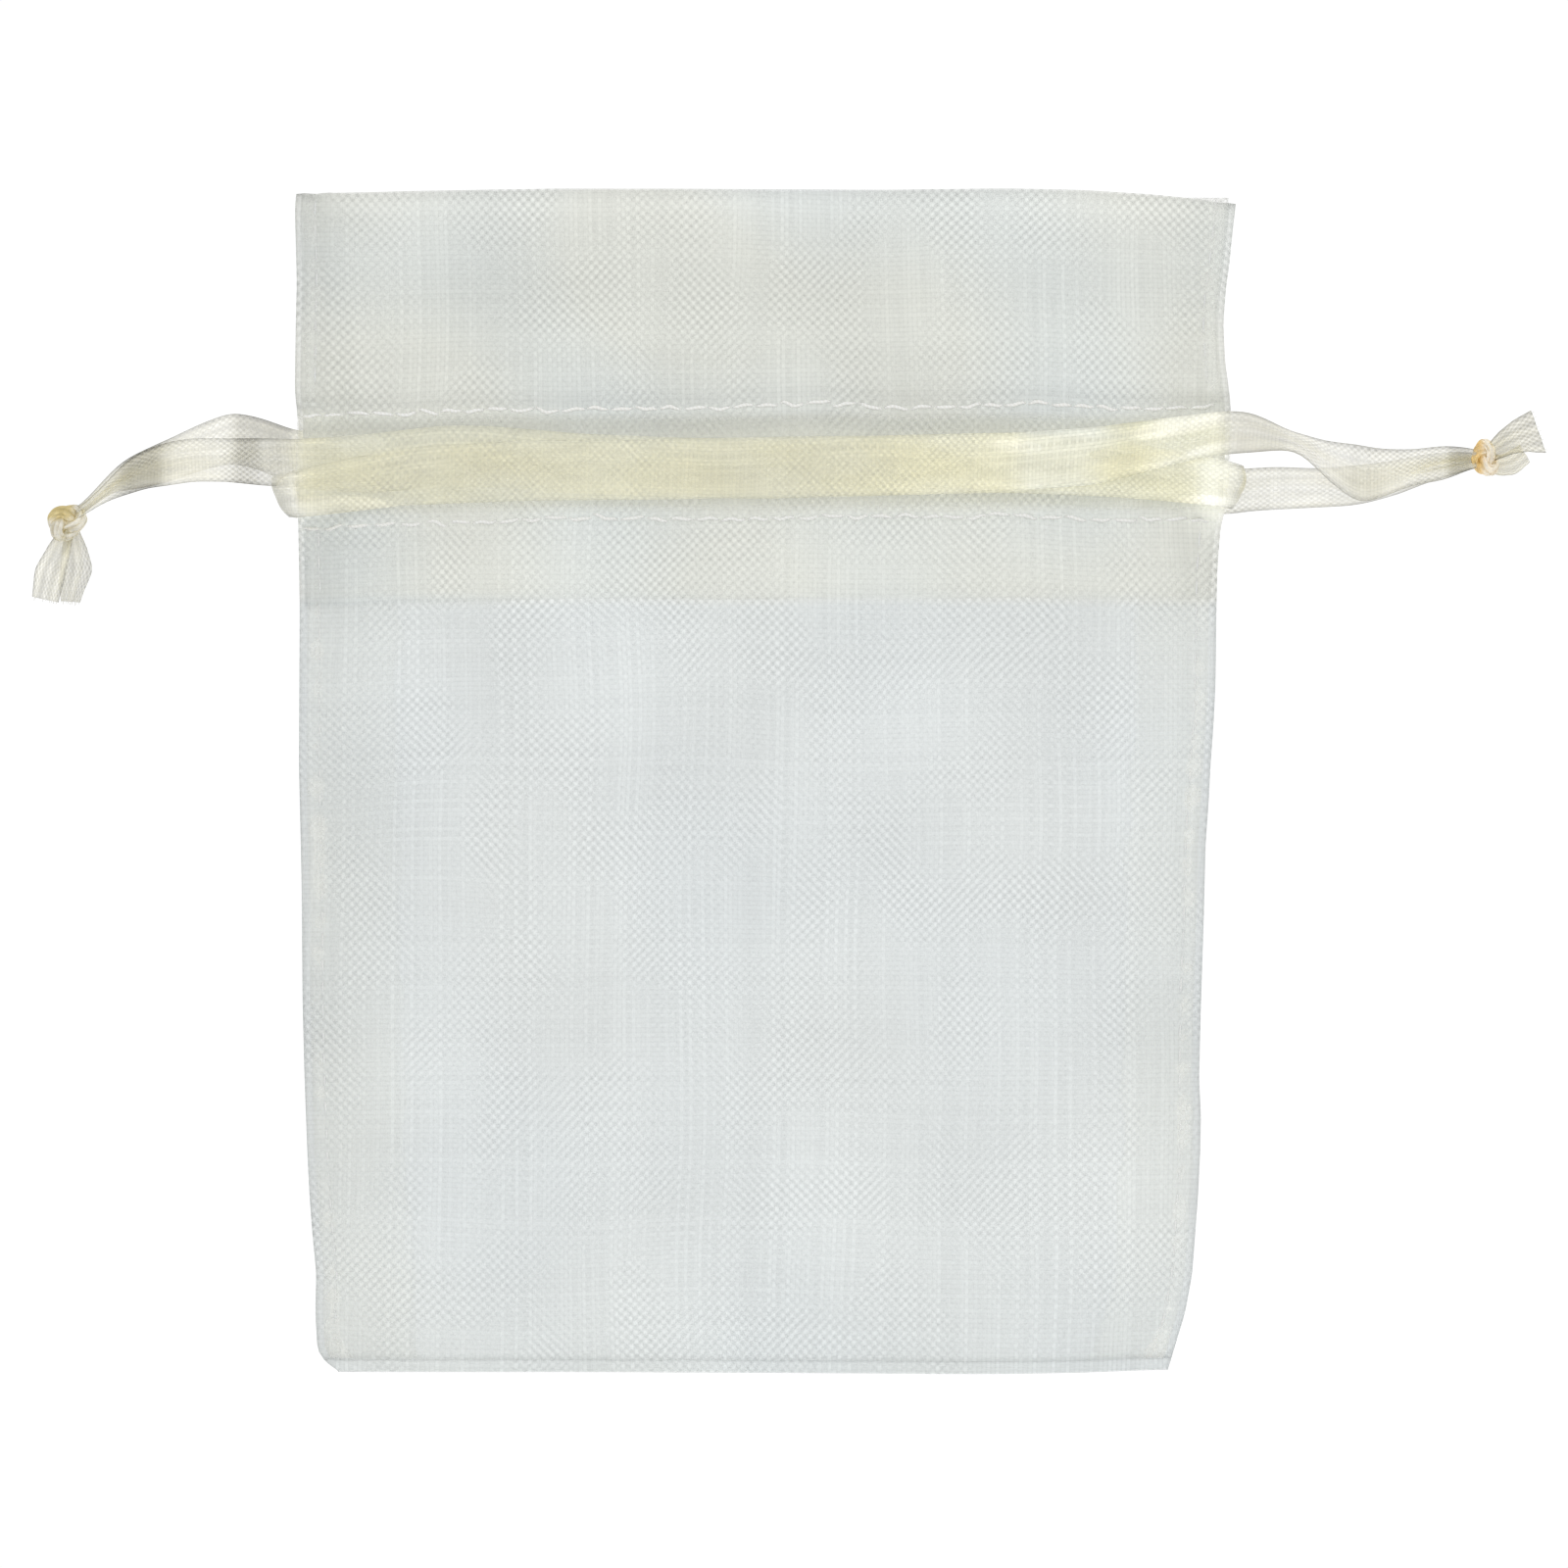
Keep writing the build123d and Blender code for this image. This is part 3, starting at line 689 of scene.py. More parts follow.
def cloth_sheet(side):
    """One side of the cloth: up the outside from the bottom fold, over the mouth edge and down inside to the hem's raw end."""
    rows = []
    up = np.unique(np.concatenate([levels(1.2, 14, 0.8), levels(14, 80, 1.05), levels(80, Z_HI + 4, 0.6), levels(Z_HI + 4, Z_TOP - 0.25, 0.95)]).round(4))
    for zn in up:
        x, z = column_xz(zn, 0.0)
        rows.append((x, side * outer_depth(x, z, side), z, x, np.full(NC, zn)))
    zf = Z_TOP - 0.25
    for k in range(1, 6):
        a = math.pi * k / 6
        x, z = column_xz(zf, 0.55 * k / 6)
        xo, _ = column_xz(zf, 0.0)
        yo, yi = outer_depth(xo, z, side), inner_depth(x, z, side)
        mid, r = (yo + yi) / 2, (yo - yi) / 2
        rows.append((x, side * (mid + r * math.cos(a)), z + np.minimum(r, 0.25) * math.sin(a), x, np.full(NC, zf + 0.5 * k / 6)))
    down = np.unique(np.concatenate([levels(Z_HEM, Z_HI + 4, 0.6), levels(Z_HI + 4, zf, 0.95)]).round(4))[::-1]
    for zn in down:
        x, z = column_xz(zn, 0.55)
        rows.append((x, side * inner_depth(x, z, side), z, x, np.full(NC, 2 * zf + 0.5 - zn)))
    X, Y, Z, S, T = (np.array([r[i] for r in rows]) for i in range(5))
    v = np.stack([X, Y, Z], -1).reshape(-1, 3)
    weave = np.stack([S, T, np.full(S.shape, 0.0)], -1).reshape(-1, 3)
    n_out = len(up) + 3
    name = "cloth_front" if side < 0 else "cloth_back"
    layer = np.repeat((np.arange(len(rows)) >= n_out).astype(int), NC)
    attrs = cloth_attrs(v, side, 0)
    inner = pleat_vector(v[:, 0], v[:, 2], side, 1) * MM
    attrs["pleat"] = np.where(layer[:, None] > 0, inner, attrs["pleat"])
    ob = mesh_object(name, v, grid_faces(len(rows), NC, flip=side > 0), M_FRONT if side < 0 else M_BACK, weave, attrs)
    zone, tint, thin = cloth_zones(v[:, 0], v[:, 2], layer, side)
    dress(ob, weave, 0.4 if side < 0 else -0.9, side, tint=tint, zone=zone, thin=thin, gain=1.05 - 0.38 * smooth((Z_HEM + 0.6 - v[:, 2]) / 6))
    rig_cloth(ob)
    add_thickness(ob, THICK)
    s = "front" if side < 0 else "back"
    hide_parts(s + "_panel", s + "_casing", s + "_frill", s + "_hem_end")
    return ob


def bottom_fold():
    rows = []
    for zn in (1.2, 0.85, 0.55, 0.3, 0.12, 0.0):
        x, z = column_xz(zn, 0.0)
        rows.append((x, outer_depth(x, z, -1) * -1, z, np.full(NC, zn)))
    for zn in (0.12, 0.3, 0.55, 0.85, 1.2):
        x, z = column_xz(zn, 0.0)
        rows.append((x, outer_depth(x, z, 1), z, np.full(NC, -zn)))
    X, Y, Z, T = (np.array([r[i] for r in rows]) for i in range(4))
    Y[5] = 0.0
    v = np.stack([X, Y, Z + 0.0], -1).reshape(-1, 3)
    weave = np.stack([X, T, 0 * X], -1).reshape(-1, 3)
    ob = mesh_object("cloth_bottom_fold", v, grid_faces(len(rows), NC, flip=True), M_FRONT, weave)
    zone, tint, thin = cloth_zones(v[:, 0], v[:, 2], 0, -1)
    dress(ob, weave, 0.4, -1, tint=tint, zone=zone, thin=thin, gain=0.67)
    add_thickness(ob, THICK)
    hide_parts("bottom_fold")
    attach(ob, "pouch")
    return ob


def seam_allowance(side):
    """The turned seam edges inside one side, as two thin layers with a slightly uneven cut edge."""
    width = 9.7 if side < 0 else 7.7
    verts, faces, weave = [], [], []
    edge_noise = Noise(61 if side < 0 else 62, 7)
    for z0, z1 in ((1.6, Z_LO - 0.7), (Z_HI + 0.7, Z_TOP - 0.7)):
        zs = levels(z0, z1, 1.1)
        qs = np.linspace(0, 1, 15)
        for layer in (-1, 1):
            base = len(verts)
            for z in zs:
                e = left(z) if side < 0 else right(z)
                w = width + 0.22 * float(edge_noise(z, 3.0 * layer)) + (0.35 if layer > 0 else 0.0)
                for q in qs:
                    d = 0.75 + q * (w - 0.75)
                    x = e - side * d
                    y = layer * (0.16 + 0.32 * math.sin(math.pi * min(1, d / w)) + 0.10 * float(WAVE_B[layer](x * 1.3, z)) * min(1.0, d / 5))
                    verts.append((x, y, z))
                    weave.append((x * 1.0, z, layer * 3.0))
            for f in grid_faces(len(zs), len(qs), flip=layer * side > 0):
                faces.append([i + base for i in f])
    v = np.array(verts)
    ob = mesh_object("seam_allowance_left" if side < 0 else "seam_allowance_right", v, faces, M_ALLOW, weave, cloth_attrs(v, 0, 2))
    dress(ob, weave, 1.6, side, zone=1.03 if side < 0 else 1.10)
    add_motion(ob, CLOTH_MOTION)
    add_thickness(ob, 0.1)
    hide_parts("left_seam_allowance" if side < 0 else "right_seam_allowance")
    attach(ob, "pouch")
    return ob


def stitch_mesh(paths, radius, sides=7):
    """Closed little thread lengths along point lists."""
    verts, faces, weave = [], [], []
    for path, nrm in paths:
        p = np.array(path)
        base, n = len(verts), len(p)
        tan = np.gradient(p, axis=0)
        tan /= np.linalg.norm(tan, axis=1)[:, None]
        nn = np.array(nrm) / np.linalg.norm(nrm)
        b = np.cross(tan, nn)
        b /= np.linalg.norm(b, axis=1)[:, None]
        c = np.cross(b, tan)
        length = 0.0
        for i in range(n):
            if i:
                length += np.linalg.norm(p[i] - p[i - 1])
            e = math.sin(math.pi * (i + 0.35) / (n - 1 + 0.7)) ** 0.45
            for k in range(sides):
                a = 2 * math.pi * k / sides
                verts.append(p[i] + radius * e * (math.cos(a) * b[i] + math.sin(a) * c[i]))
                weave.append((length, k / sides, 0))
        for f in grid_faces(n, sides, close=True):
            faces.append([i + base for i in f])
        faces.append([base + k for k in range(sides)][::-1])
        faces.append([base + (n - 1) * sides + k for k in range(sides)])
    return np.array(verts), [f[::-1] for f in faces], weave


def casing_stitches(side, level, offs, name, node):
    """Machine stitches along one casing line, lying in the dimple they pull into the cloth."""
    r = np.random.default_rng(int(level) * 7 + side + 3)
    paths, x = [], -46.6
    while x < 46.9:
        ln = 2.2 + r.uniform(-0.25, 0.25)
        xs = np.linspace(x, x + ln, 7)
        if xs[-1] > 47.3:
            break
        tilt = r.uniform(-0.13, 0.13)
        z = level + offs(xs) + tilt * (xs - xs.mean()) + 0.10 * PUCK[side](xs * 1.6, level + 0 * xs)
        arch = 0.09 * np.sin(np.pi * np.linspace(0, 1, 7)) - 0.02
        sunk = 0.13 * smooth(((-40 if level > Z_LO + 3 else -27) - xs) / 5)
        y = outer_depth(xs, z, side) + THICK / 2 + arch - sunk
        paths.append((np.stack([xs, side * y, z], 1), (0, side, 0)))
        x += ln + 0.24 + r.uniform(-0.06, 0.10)
    v, f, w = stitch_mesh(paths, 0.19)
    attrs = cloth_attrs(v, side, 0)
    ob = mesh_object(name, v, f, M_THREAD if level > Z_LO + 3 else M_LOWER, w, attrs)
    rig_cloth(ob)
    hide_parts(node)
    return ob


def seam_stitches(side):
    """Side seam stitches, showing on both faces of the pouch."""
    r = np.random.default_rng(17 + side)
    paths = []
    for face in (-1, 1):
        z = 2.2
        while z < Z_TOP - 2.6:
            ln = 1.9 + r.uniform(-0.12, 0.12)
            if z + ln < Z_LO - 1.0 or z > Z_HI + 1.0:
                zs = np.linspace(z, z + ln, 6)
                e = left(zs) if side < 0 else right(zs)
                xs = e - side * (SEAM_IN + r.uniform(-0.05, 0.05))
                y = outer_depth(xs, zs, face) + THICK / 2 + 0.05 * np.sin(np.pi * np.linspace(0, 1, 6)) - 0.03
                paths.append((np.stack([xs, face * y, zs], 1), (0, face, 0)))
            z += ln + 0.5
    v, f, w = stitch_mesh(paths, 0.10, 6)
    at = cloth_attrs(v, 0, 2)
    at["pleat"] = np.where(v[:, 1:2] < 0, pleat_vector(v[:, 0], v[:, 2], -1, 0), pleat_vector(v[:, 0], v[:, 2], 1, 0)) * MM
    ob = mesh_object("seam_stitches_left" if side < 0 else "seam_stitches_right", v, f, M_SEAM, w, at)
    add_motion(ob, CLOTH_MOTION)
    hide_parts("left_seam_thread" if side < 0 else "right_seam_thread")
    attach(ob, "pouch")
    return ob


cloth_sheet(-1)
cloth_sheet(1)
bottom_fold()
for s in (-1, 1):
    seam_allowance(s)
    seam_stitches(s)
    side_name = "front" if s < 0 else "back"
    casing_stitches(s, Z_LO, LOWER, side_name + "_lower_stitching", side_name + "_lower_stitches")
    casing_stitches(s, Z_HI, UPPER, side_name + "_upper_stitching", side_name + "_upper_stitches")


# ---------------------------------------------------------------- ribbons
RIBBON_W = cadbox("left_ribbon_front")[1][2] - cadbox("left_ribbon_front")[0][2]
L_LEVEL = cadbox("left_ribbon_back")[1][1] - 0.15
R_LEVEL = cadbox("right_ribbon_back")[1][1] - 0.15
L_KNOT = (cadbox("left_knot")[0] + cadbox("left_knot")[1]) / 2
R_KNOT = (cadbox("right_knot")[0] + cadbox("right_knot")[1]) / 2
NQ = 21


def ripple_height(w, folds):
    """Height of the folds that take up a ribbon's spare width where it is bunched to a visible width w."""
    r = np.maximum((RIBBON_W / np.maximum(w, 0.6)) ** 2 - 1, 0)
    return np.minimum(w / (2 * np.pi * folds) * np.sqrt(2 * r), 0.95)


def ribbon_zones(x, y, q, s, turn):
    """Tone and warmth along a ribbon: warm where it lies doubled in the casing, paler outside. The tone carries painted
    light: raised inside the casing to make up for the light the cloth over it holds back, painted highlights across the
    loop turns and at a few spots, and darker patches where strands cross or fold, partly real overlap and partly
    painted shade.
    """
    inside = smooth((X_HALF + 1.0 - np.abs(x)) / 2.5)
    front = smooth((0.4 - y) / 0.8)
    # the rise inside the casing is painted light; darker towards the edges outside the casing
    tone = 1.02 + (0.32 + 0.05 * smooth((x + 30) / 25) + 0.20 * smooth((x - 4) / 26)) * inside - 0.36 * smooth((np.abs(q) - 0.85) / 0.08) * (1 - 0.6 * inside)
    warm = 0.12 + (0.68 - 0.10 * smooth((x - 10) / 22)) * inside
    # spots of (x, width, tone, warmth, face): negative tone gives darker patches, partly real overlap of strands and
    # partly painted shade of folds; positive tone gives painted highlights, such as the whitish one at x = 46.6
    if s < 0:
        spots = [(-52.3, 1.25, -0.37, 0.28, 0), (-49.9, 1.2, -0.12, -0.12, -1), (-63.0, 2.2, -0.42, 0.52, 0), (-56.9, 2.7, 0.10, -0.14, 0), (-49.4, 1.7, -0.42, 0.5, 1),
                 (-44.3, 1.6, -0.10, 0.15, -1), (-67.5, 1.2, 0.05, -0.1, 0), (46.6, 2.0, 0.18, -0.72, 0)]
    else:
        spots = [(71.2, 1.2, -0.40, 0.48, 0), (61.5, 1.6, -0.10, 0.1, 0), (30.4, 4.2, 0.10, -0.75, -1), (37.3, 1.4, -0.12, 0.25, -1), (50.5, 2.6, -0.20, 0.32, -1), (66.5, 1.3, 0.05, -0.05, 0),
                 (53.6, 4.4, 0.09, -0.10, 1), (-42.0, 3.5, -0.06, 0.05, -1), (43.5, 3.2, 0.06, -0.45, -1)]
    # painted highlight across each loop turn, darker at its outermost edge; on the left ribbon the turn is whitish with
    # an amber outer edge
    tone = tone + 0.10 * turn * (1 - turn) * 4 - 0.10 * turn ** 8
    warm = np.where(turn > 0.02, warm * (1 - turn) + turn * np.where(turn > 0.93, 0.85, 0.1), warm) if s < 0 else warm - 0.5 * turn
    for c, w, dt, dw, face in spots:
        k = 1 / (1 + ((x - c) / w) ** 6)
        share = front if face < 0 else 1 - front if face > 0 else 1.0
        tone, warm = tone + dt * k * share, warm + dw * k * share
    # darker and paler on the lower half of the front strand near x = -43.5
    if s > 0:
        low = smooth((0.05 - q) / 0.4) * near(x, -43.5, 5.5) * front
        tone, warm = tone - 0.15 * low, warm - 0.36 * low
    return tone, warm


def strip(name, sections, mat, seed, body_pair, hinge, width, side_level, folds=1.5):
    """A ribbon from sections of (point at the upper edge, point at the lower edge, normal), bunched where they are narrow."""
    top = np.array([s[0] for s in sections])
    bot = np.array([s[1] for s in sections])
    nrm = np.array([s[2] for s in sections])
    n = len(top)
    mid = (top + bot) / 2
    run = np.concatenate([[0], np.cumsum(np.linalg.norm(np.diff(mid, axis=0), axis=1))])
    w = np.linalg.norm(top - bot, axis=1)
    q = np.linspace(-1, 1, NQ)
    height = ripple_height(w, folds)
    drift = Noise(seed, 16)(run, 0 * run) * 0.5
    fine = Noise(seed + 1, 5)
    fold2 = Noise(seed + 2, 11)
    rows, steep = [], []
    turn = np.array([s[3] if len(s) > 3 else 0.0 for s in sections])       # 1 where the ribbon turns round the far seam
    for i in range(n):
        p = (top[i] + bot[i])[None] / 2 + (top[i] - bot[i])[None] / 2 * q[:, None]
        a = (1 - 0.9 * turn[i]) * height[i] * np.sin(np.pi * folds * (q + 1) + drift[i] * 1.3 + 0.4) + 0.05 * fine(run[i], q * 2.2)
        steep.append(np.sin(2 * np.pi * folds * (q + 1) + 2 * drift[i] + 0.8))
        a = a + 0.07 * fold2(run[i], q * 1.2) + 0.75 * turn[i] * (1 - q ** 2)
        rows.append(p + nrm[i][None] * a[:, None])
    v = np.array(rows).reshape(-1, 3)
    along = np.repeat(run, NQ)
    across = np.tile(q, n) * RIBBON_W / 2
    weave = np.stack([across, along, np.zeros(len(v))], -1)
    ob = mesh_object(name, v, grid_faces(n, NQ), mat, weave,
                     {"side": np.clip(v[:, 1] / (0.75 * side_level), -1, 1), "selv": smooth((np.abs(np.tile(q, n)) - 0.93) / 0.05), "inside": smooth((X_HALF + 1.0 - np.abs(v[:, 0])) / 2.5)})
    zone, warm = ribbon_zones(v[:, 0], v[:, 1], np.tile(q, n), -1 if "left" in name else 1, np.repeat(turn, NQ))
    # tone lowered on the steep sides of the folds where the ribbon is bunched: painted shade
    zone = zone * (1 + 0.035 * Noise(seed + 9, 5)(along, across * 3.5) - 0.10 * np.repeat(smooth((RIBBON_W - w) / 4), NQ) * smooth(0.5 + np.array(steep).ravel()))
    dress(ob, weave, 0.0, seed % 5, tone_amp=0.03, wobble=0.22, zone=zone,
          tint=np.clip(warm + 0.13 * Noise(seed + 3, 13)(along * 1.0, across * 2.2), 0, 1))
    a, b, p0, p1, w_of = body_pair[0], body_pair[1], hinge[0], hinge[1], width
    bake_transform(ob)
    if w_of is not None:
        w_of(v).astype(np.float32)
    add_motion(ob, RIBBON_MOTION)
    add_thickness(ob, 0.09)
    return ob


def hairpin(name, s, level, front, back, loop, knot, mat, seed, folds):
    """One drawn ribbon. s is the side its knot is on (-1 left); front, back: rows of (x, upper z, lower z); loop: (upper, lower, reach)."""
    ft, fb = table([(r[0], r[1]) for r in front], 0.9), table([(r[0], r[2]) for r in front], 0.9)
    bt, bb = table([(r[0], r[1]) for r in back], 0.9), table([(r[0], r[2]) for r in back], 0.9)
    x_far = -s * 46.9
    x_tail = knot[0] - s * 0.9

    def path_y(x):
        out = np.clip((s * x - X_HALF) / (abs(knot[0]) - 3.5 - X_HALF), 0, 1)
        return 0.42 + (level - 0.42) * (1 - smooth(out))

    tail_x = np.arange(0, abs(x_tail) - X_HALF, 0.42)
    run_x = np.arange(0, 2 * X_HALF - 0.3, 0.95)
    xs = np.concatenate([x_tail - s * tail_x, s * X_HALF - s * run_x])
    sections = []
    for x in xs:
        y = path_y(x)
        sections.append(((x, -y, float(ft(x))), (x, -y * 1.0, float(fb(x))), (0, -1, 0)))
    for a in np.linspace(-math.pi / 2, math.pi / 2, 19)[1:-1]:
        t = (math.sin(a) + 1) / 2
        k = math.cos(a)
        up = (ft(x_far) * (1 - t) + bt(x_far) * t) * (1 - k) + loop[0] * k
        lo = (fb(x_far) * (1 - t) + bb(x_far) * t) * (1 - k) + loop[1] * k
        x0 = x_far - s * loop[2] * k
        x1 = x_far - s * loop[3] * k
        sections.append(((x0, level * math.sin(a), up), (x1, level * math.sin(a), lo), (-s * math.cos(a), math.sin(a), 0), k ** 0.5))
    for x in xs[::-1]:
        y = path_y(x)
        sections.append(((x, y, float(bt(x))), (x, y, float(bb(x))), (0, 1, 0)))
    body = "left" if s < 0 else "right"
    hinge = HINGES[body + "_tail_swing"]

    def weight(v):
        return smooth((s * v[:, 0] - (abs(hinge[0]) - 3.6)) / 7.5)

    ob = strip(name, sections, mat, seed, (body + "_ribbon", body + "_tail"), (hinge - (s * 3, 0, 0), hinge + (s * 3, 0, 0)),
               weight, level, folds)
    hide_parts(*[body + "_" + p for p in ("ribbon_front", "ribbon_back", "ribbon_loop", "tail_front", "tail_back")])
    return ob


hairpin("ribbon_left", -1, L_LEVEL,
        [(-70, 87.6, 86.5), (-68.6, 88.7, 87.5), (-67.1, 90.1, 88.5), (-65.5, 91.8, 89.2), (-64.3, 93.1, 89.5), (-62.2, 94.1, 90.2), (-60.2, 94.8, 90.3),
         (-57.8, 95.2, 90.8), (-53.9, 95.1, 90.7), (-50, 95.1, 90.3), (-47.2, 95.0, 90.2), (-44, 95.2, 89.8), (-40, 95.5, 89.5), (-32.5, 96.4, 90.2), (-28, 96.4, 90.2),
         (-18.4, 95.6, 89.5), (-9, 95.2, 89.1), (0.7, 95.0, 89.0), (12.3, 95.4, 89.3), (25, 95.7, 89.6), (36, 95.0, 89.2), (43, 93.6, 88.6), (48, 92.8, 88.1)],
        [(-70, 87.6, 86.6), (-68.6, 88.9, 87.9), (-67.1, 90.6, 89.0), (-65.5, 92.4, 90.0), (-64.3, 93.2, 89.9), (-62.2, 94.2, 90.3), (-59.8, 95.3, 90.9),
         (-56.9, 96.7, 92.0), (-53.9, 97.9, 92.7), (-51.2, 97.4, 92.1), (-48.5, 96.4, 90.9), (-47.2, 95.9, 90.4), (-42, 96.0, 90.0), (-32, 96.0, 90.0), (-20, 95.4, 89.4),
         (0, 95.1, 89.1), (14, 95.2, 89.1), (26, 95.0, 89.2), (38, 94.2, 88.7), (48, 92.8, 88.1)],
        (92.3, 88.0, 2.3, 0.9), L_KNOT, M_RIB_L, 201, 1.5)
hairpin("ribbon_right", 1, R_LEVEL,
        [(-48, 91.6, 87.0), (-44, 92.6, 87.4), (-36, 94.2, 88.3), (-24, 94.9, 88.8), (-10, 95.0, 88.9), (4, 95.3, 89.2), (16, 95.4, 89.4), (26, 95.7, 89.8), (34, 96.2, 90.4),
         (40, 97.0, 91.9), (44, 97.5, 93.0), (47.9, 97.9, 93.6), (49.9, 97.7, 93.7), (51.9, 96.8, 93.9), (53.8, 95.8, 94.0), (55.3, 95.5, 93.4), (56.7, 95.0, 91.8), (58.5, 94.7, 90.2),
         (60.8, 94.5, 88.5), (62.5, 94.1, 88.9), (64.5, 94.0, 89.7), (66.6, 94.0, 90.5), (69.5, 94.4, 90.9), (72.0, 94.2, 92.0), (73.5, 93.8, 92.4)],
        [(-48, 91.6, 87.0), (-42, 92.8, 87.6), (-30, 94.4, 88.4), (-12, 95.0, 88.9), (0, 95.1, 89.0), (14, 95.0, 88.9), (26, 94.6, 88.6), (36, 93.6, 88.2), (43, 92.6, 87.7),
         (48.1, 92.0, 87.5), (49.3, 92.1, 87.8), (52.6, 92.3, 88.0), (56.7, 92.1, 88.2), (60.8, 92.4, 88.4), (64.7, 92.9, 89.4), (67.3, 93.5, 90.5), (70.7, 93.8, 91.6), (73.5, 93.6, 92.4)],
        (91.4, 87.2, 2.7, 0.9), R_KNOT, M_RIB_R, 231, 1.5)


def knot(name, centre, s, mat, body, node, seed, lean, squeeze=1.0):
    """A tight overhand knot: a bunched ribbon that passes round and through itself."""
    n, m = 220, 22
    t = np.linspace(0, 2 * np.pi, n, endpoint=False)
    k = 0.54
    p = np.stack([(2 + np.cos(3 * t)) * np.cos(2 * t), np.sin(3 * t) * 1.15, (2 + np.cos(3 * t)) * np.sin(2 * t)], -1) * k
    p[:, 0] *= 1.0 + 0.06 * np.sin(t * 2 + seed)
    p[:, 2] *= 0.80
    ca, sa = math.cos(lean), math.sin(lean)
    p = np.stack([(ca * p[:, 0] - sa * p[:, 2]) * squeeze, p[:, 1], sa * p[:, 0] + ca * p[:, 2]], -1) + np.array(centre)
    tan = np.roll(p, -1, 0) - np.roll(p, 1, 0)
    tan /= np.linalg.norm(tan, axis=1)[:, None]
    c0 = np.array(centre)
    out = p - c0
    out -= (out * tan).sum(1)[:, None] * tan
    out /= np.linalg.norm(out, axis=1)[:, None]
    b = np.cross(tan, out)
    verts, weave, valley = [], [], []
    wn = Noise(seed, 1.4)
    for i in range(n):
        for j in range(m):
            a = 2 * math.pi * j / m
            pleat = 1 + 0.12 * math.sin(5 * a + 4 * t[i] + seed) + 0.06 * math.sin(9 * a - 5 * t[i]) + 0.07 * float(wn(i * 0.06, a))
            valley.append(pleat)
            r = 0.74 * pleat
            verts.append(p[i] + (out[i] * r * 0.72 * math.cos(a) + b[i] * r * 1.05 * math.sin(a)) * (squeeze, 1, 1))
            weave.append((a / (2 * math.pi) * RIBBON_W, i * 0.09, 0))
    faces = grid_faces(n, m, close=True)
    base = (n - 1) * m
    for j in range(m):
        faces.append([base + j, base + (j + 1) % m, (j + 1) % m, j])
    ob = mesh_object(name, verts, faces, mat, weave)
    depth = np.linalg.norm(np.array(verts) - c0, axis=1)
    low = np.clip((1.0 - np.array(valley)) / 0.16, 0, 1)
    up_ = np.clip((np.array(verts)[:, 2] - c0[2] + 0.3) / 1.2, 0, 1) if s < 0 else np.clip((c0[0] + 0.6 - np.array(verts)[:, 0]) / 1.2, 0, 1)
    tint = np.clip(1.1 * np.clip((1.75 - depth) / 0.7, 0, 1) * (0.35 + 0.65 * up_) + 0.45 * low * up_, 0, 1)
    vx, vz = np.array(verts)[:, 0] - c0[0], np.array(verts)[:, 2] - c0[2]
    if s > 0:
        tint = np.clip(1.0 * smooth((0.15 - vx) / 0.8) + 0.40 * low, 0, 1)
    else:
        tint = np.clip(0.92 * smooth((vz + 0.15) / 0.8) * smooth((1.1 - vx) / 0.9) + 0.25 * smooth((1.5 - depth) / 0.6) + 0.35 * low, 0, 1)
    # tone raised overall and lowered in the pleat valleys, and the tint turns darker amber there: painted shade in the
    # creases; the tint is also darker amber toward the core and one rim
    dress(ob, np.array(weave), 0.0, seed % 5, tone_amp=0.06, wobble=0.05, tint=tint, zone=(1.24 if s < 0 else 1.32) - 0.24 * low)
    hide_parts(node)
    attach(ob, body)
    return ob


def flap_sections(points, widths):
    """Sections across a curved loose end, seen square to its width."""
    p = np.array(points, float)
    d = np.concatenate([[0], np.cumsum(np.linalg.norm(np.diff(p, axis=0), axis=1))])
    g = np.linspace(0, d[-1], 26)
    c = np.stack([np.interp(g, d, p[:, i]) for i in range(3)], -1)
    for _ in range(3):
        c[1:-1] = (c[:-2] + 2 * c[1:-1] + c[2:]) / 4
    w = np.interp(g, d, widths)
    tan = np.gradient(c, axis=0)
    tan /= np.linalg.norm(tan, axis=1)[:, None]
    return c, w, tan, g


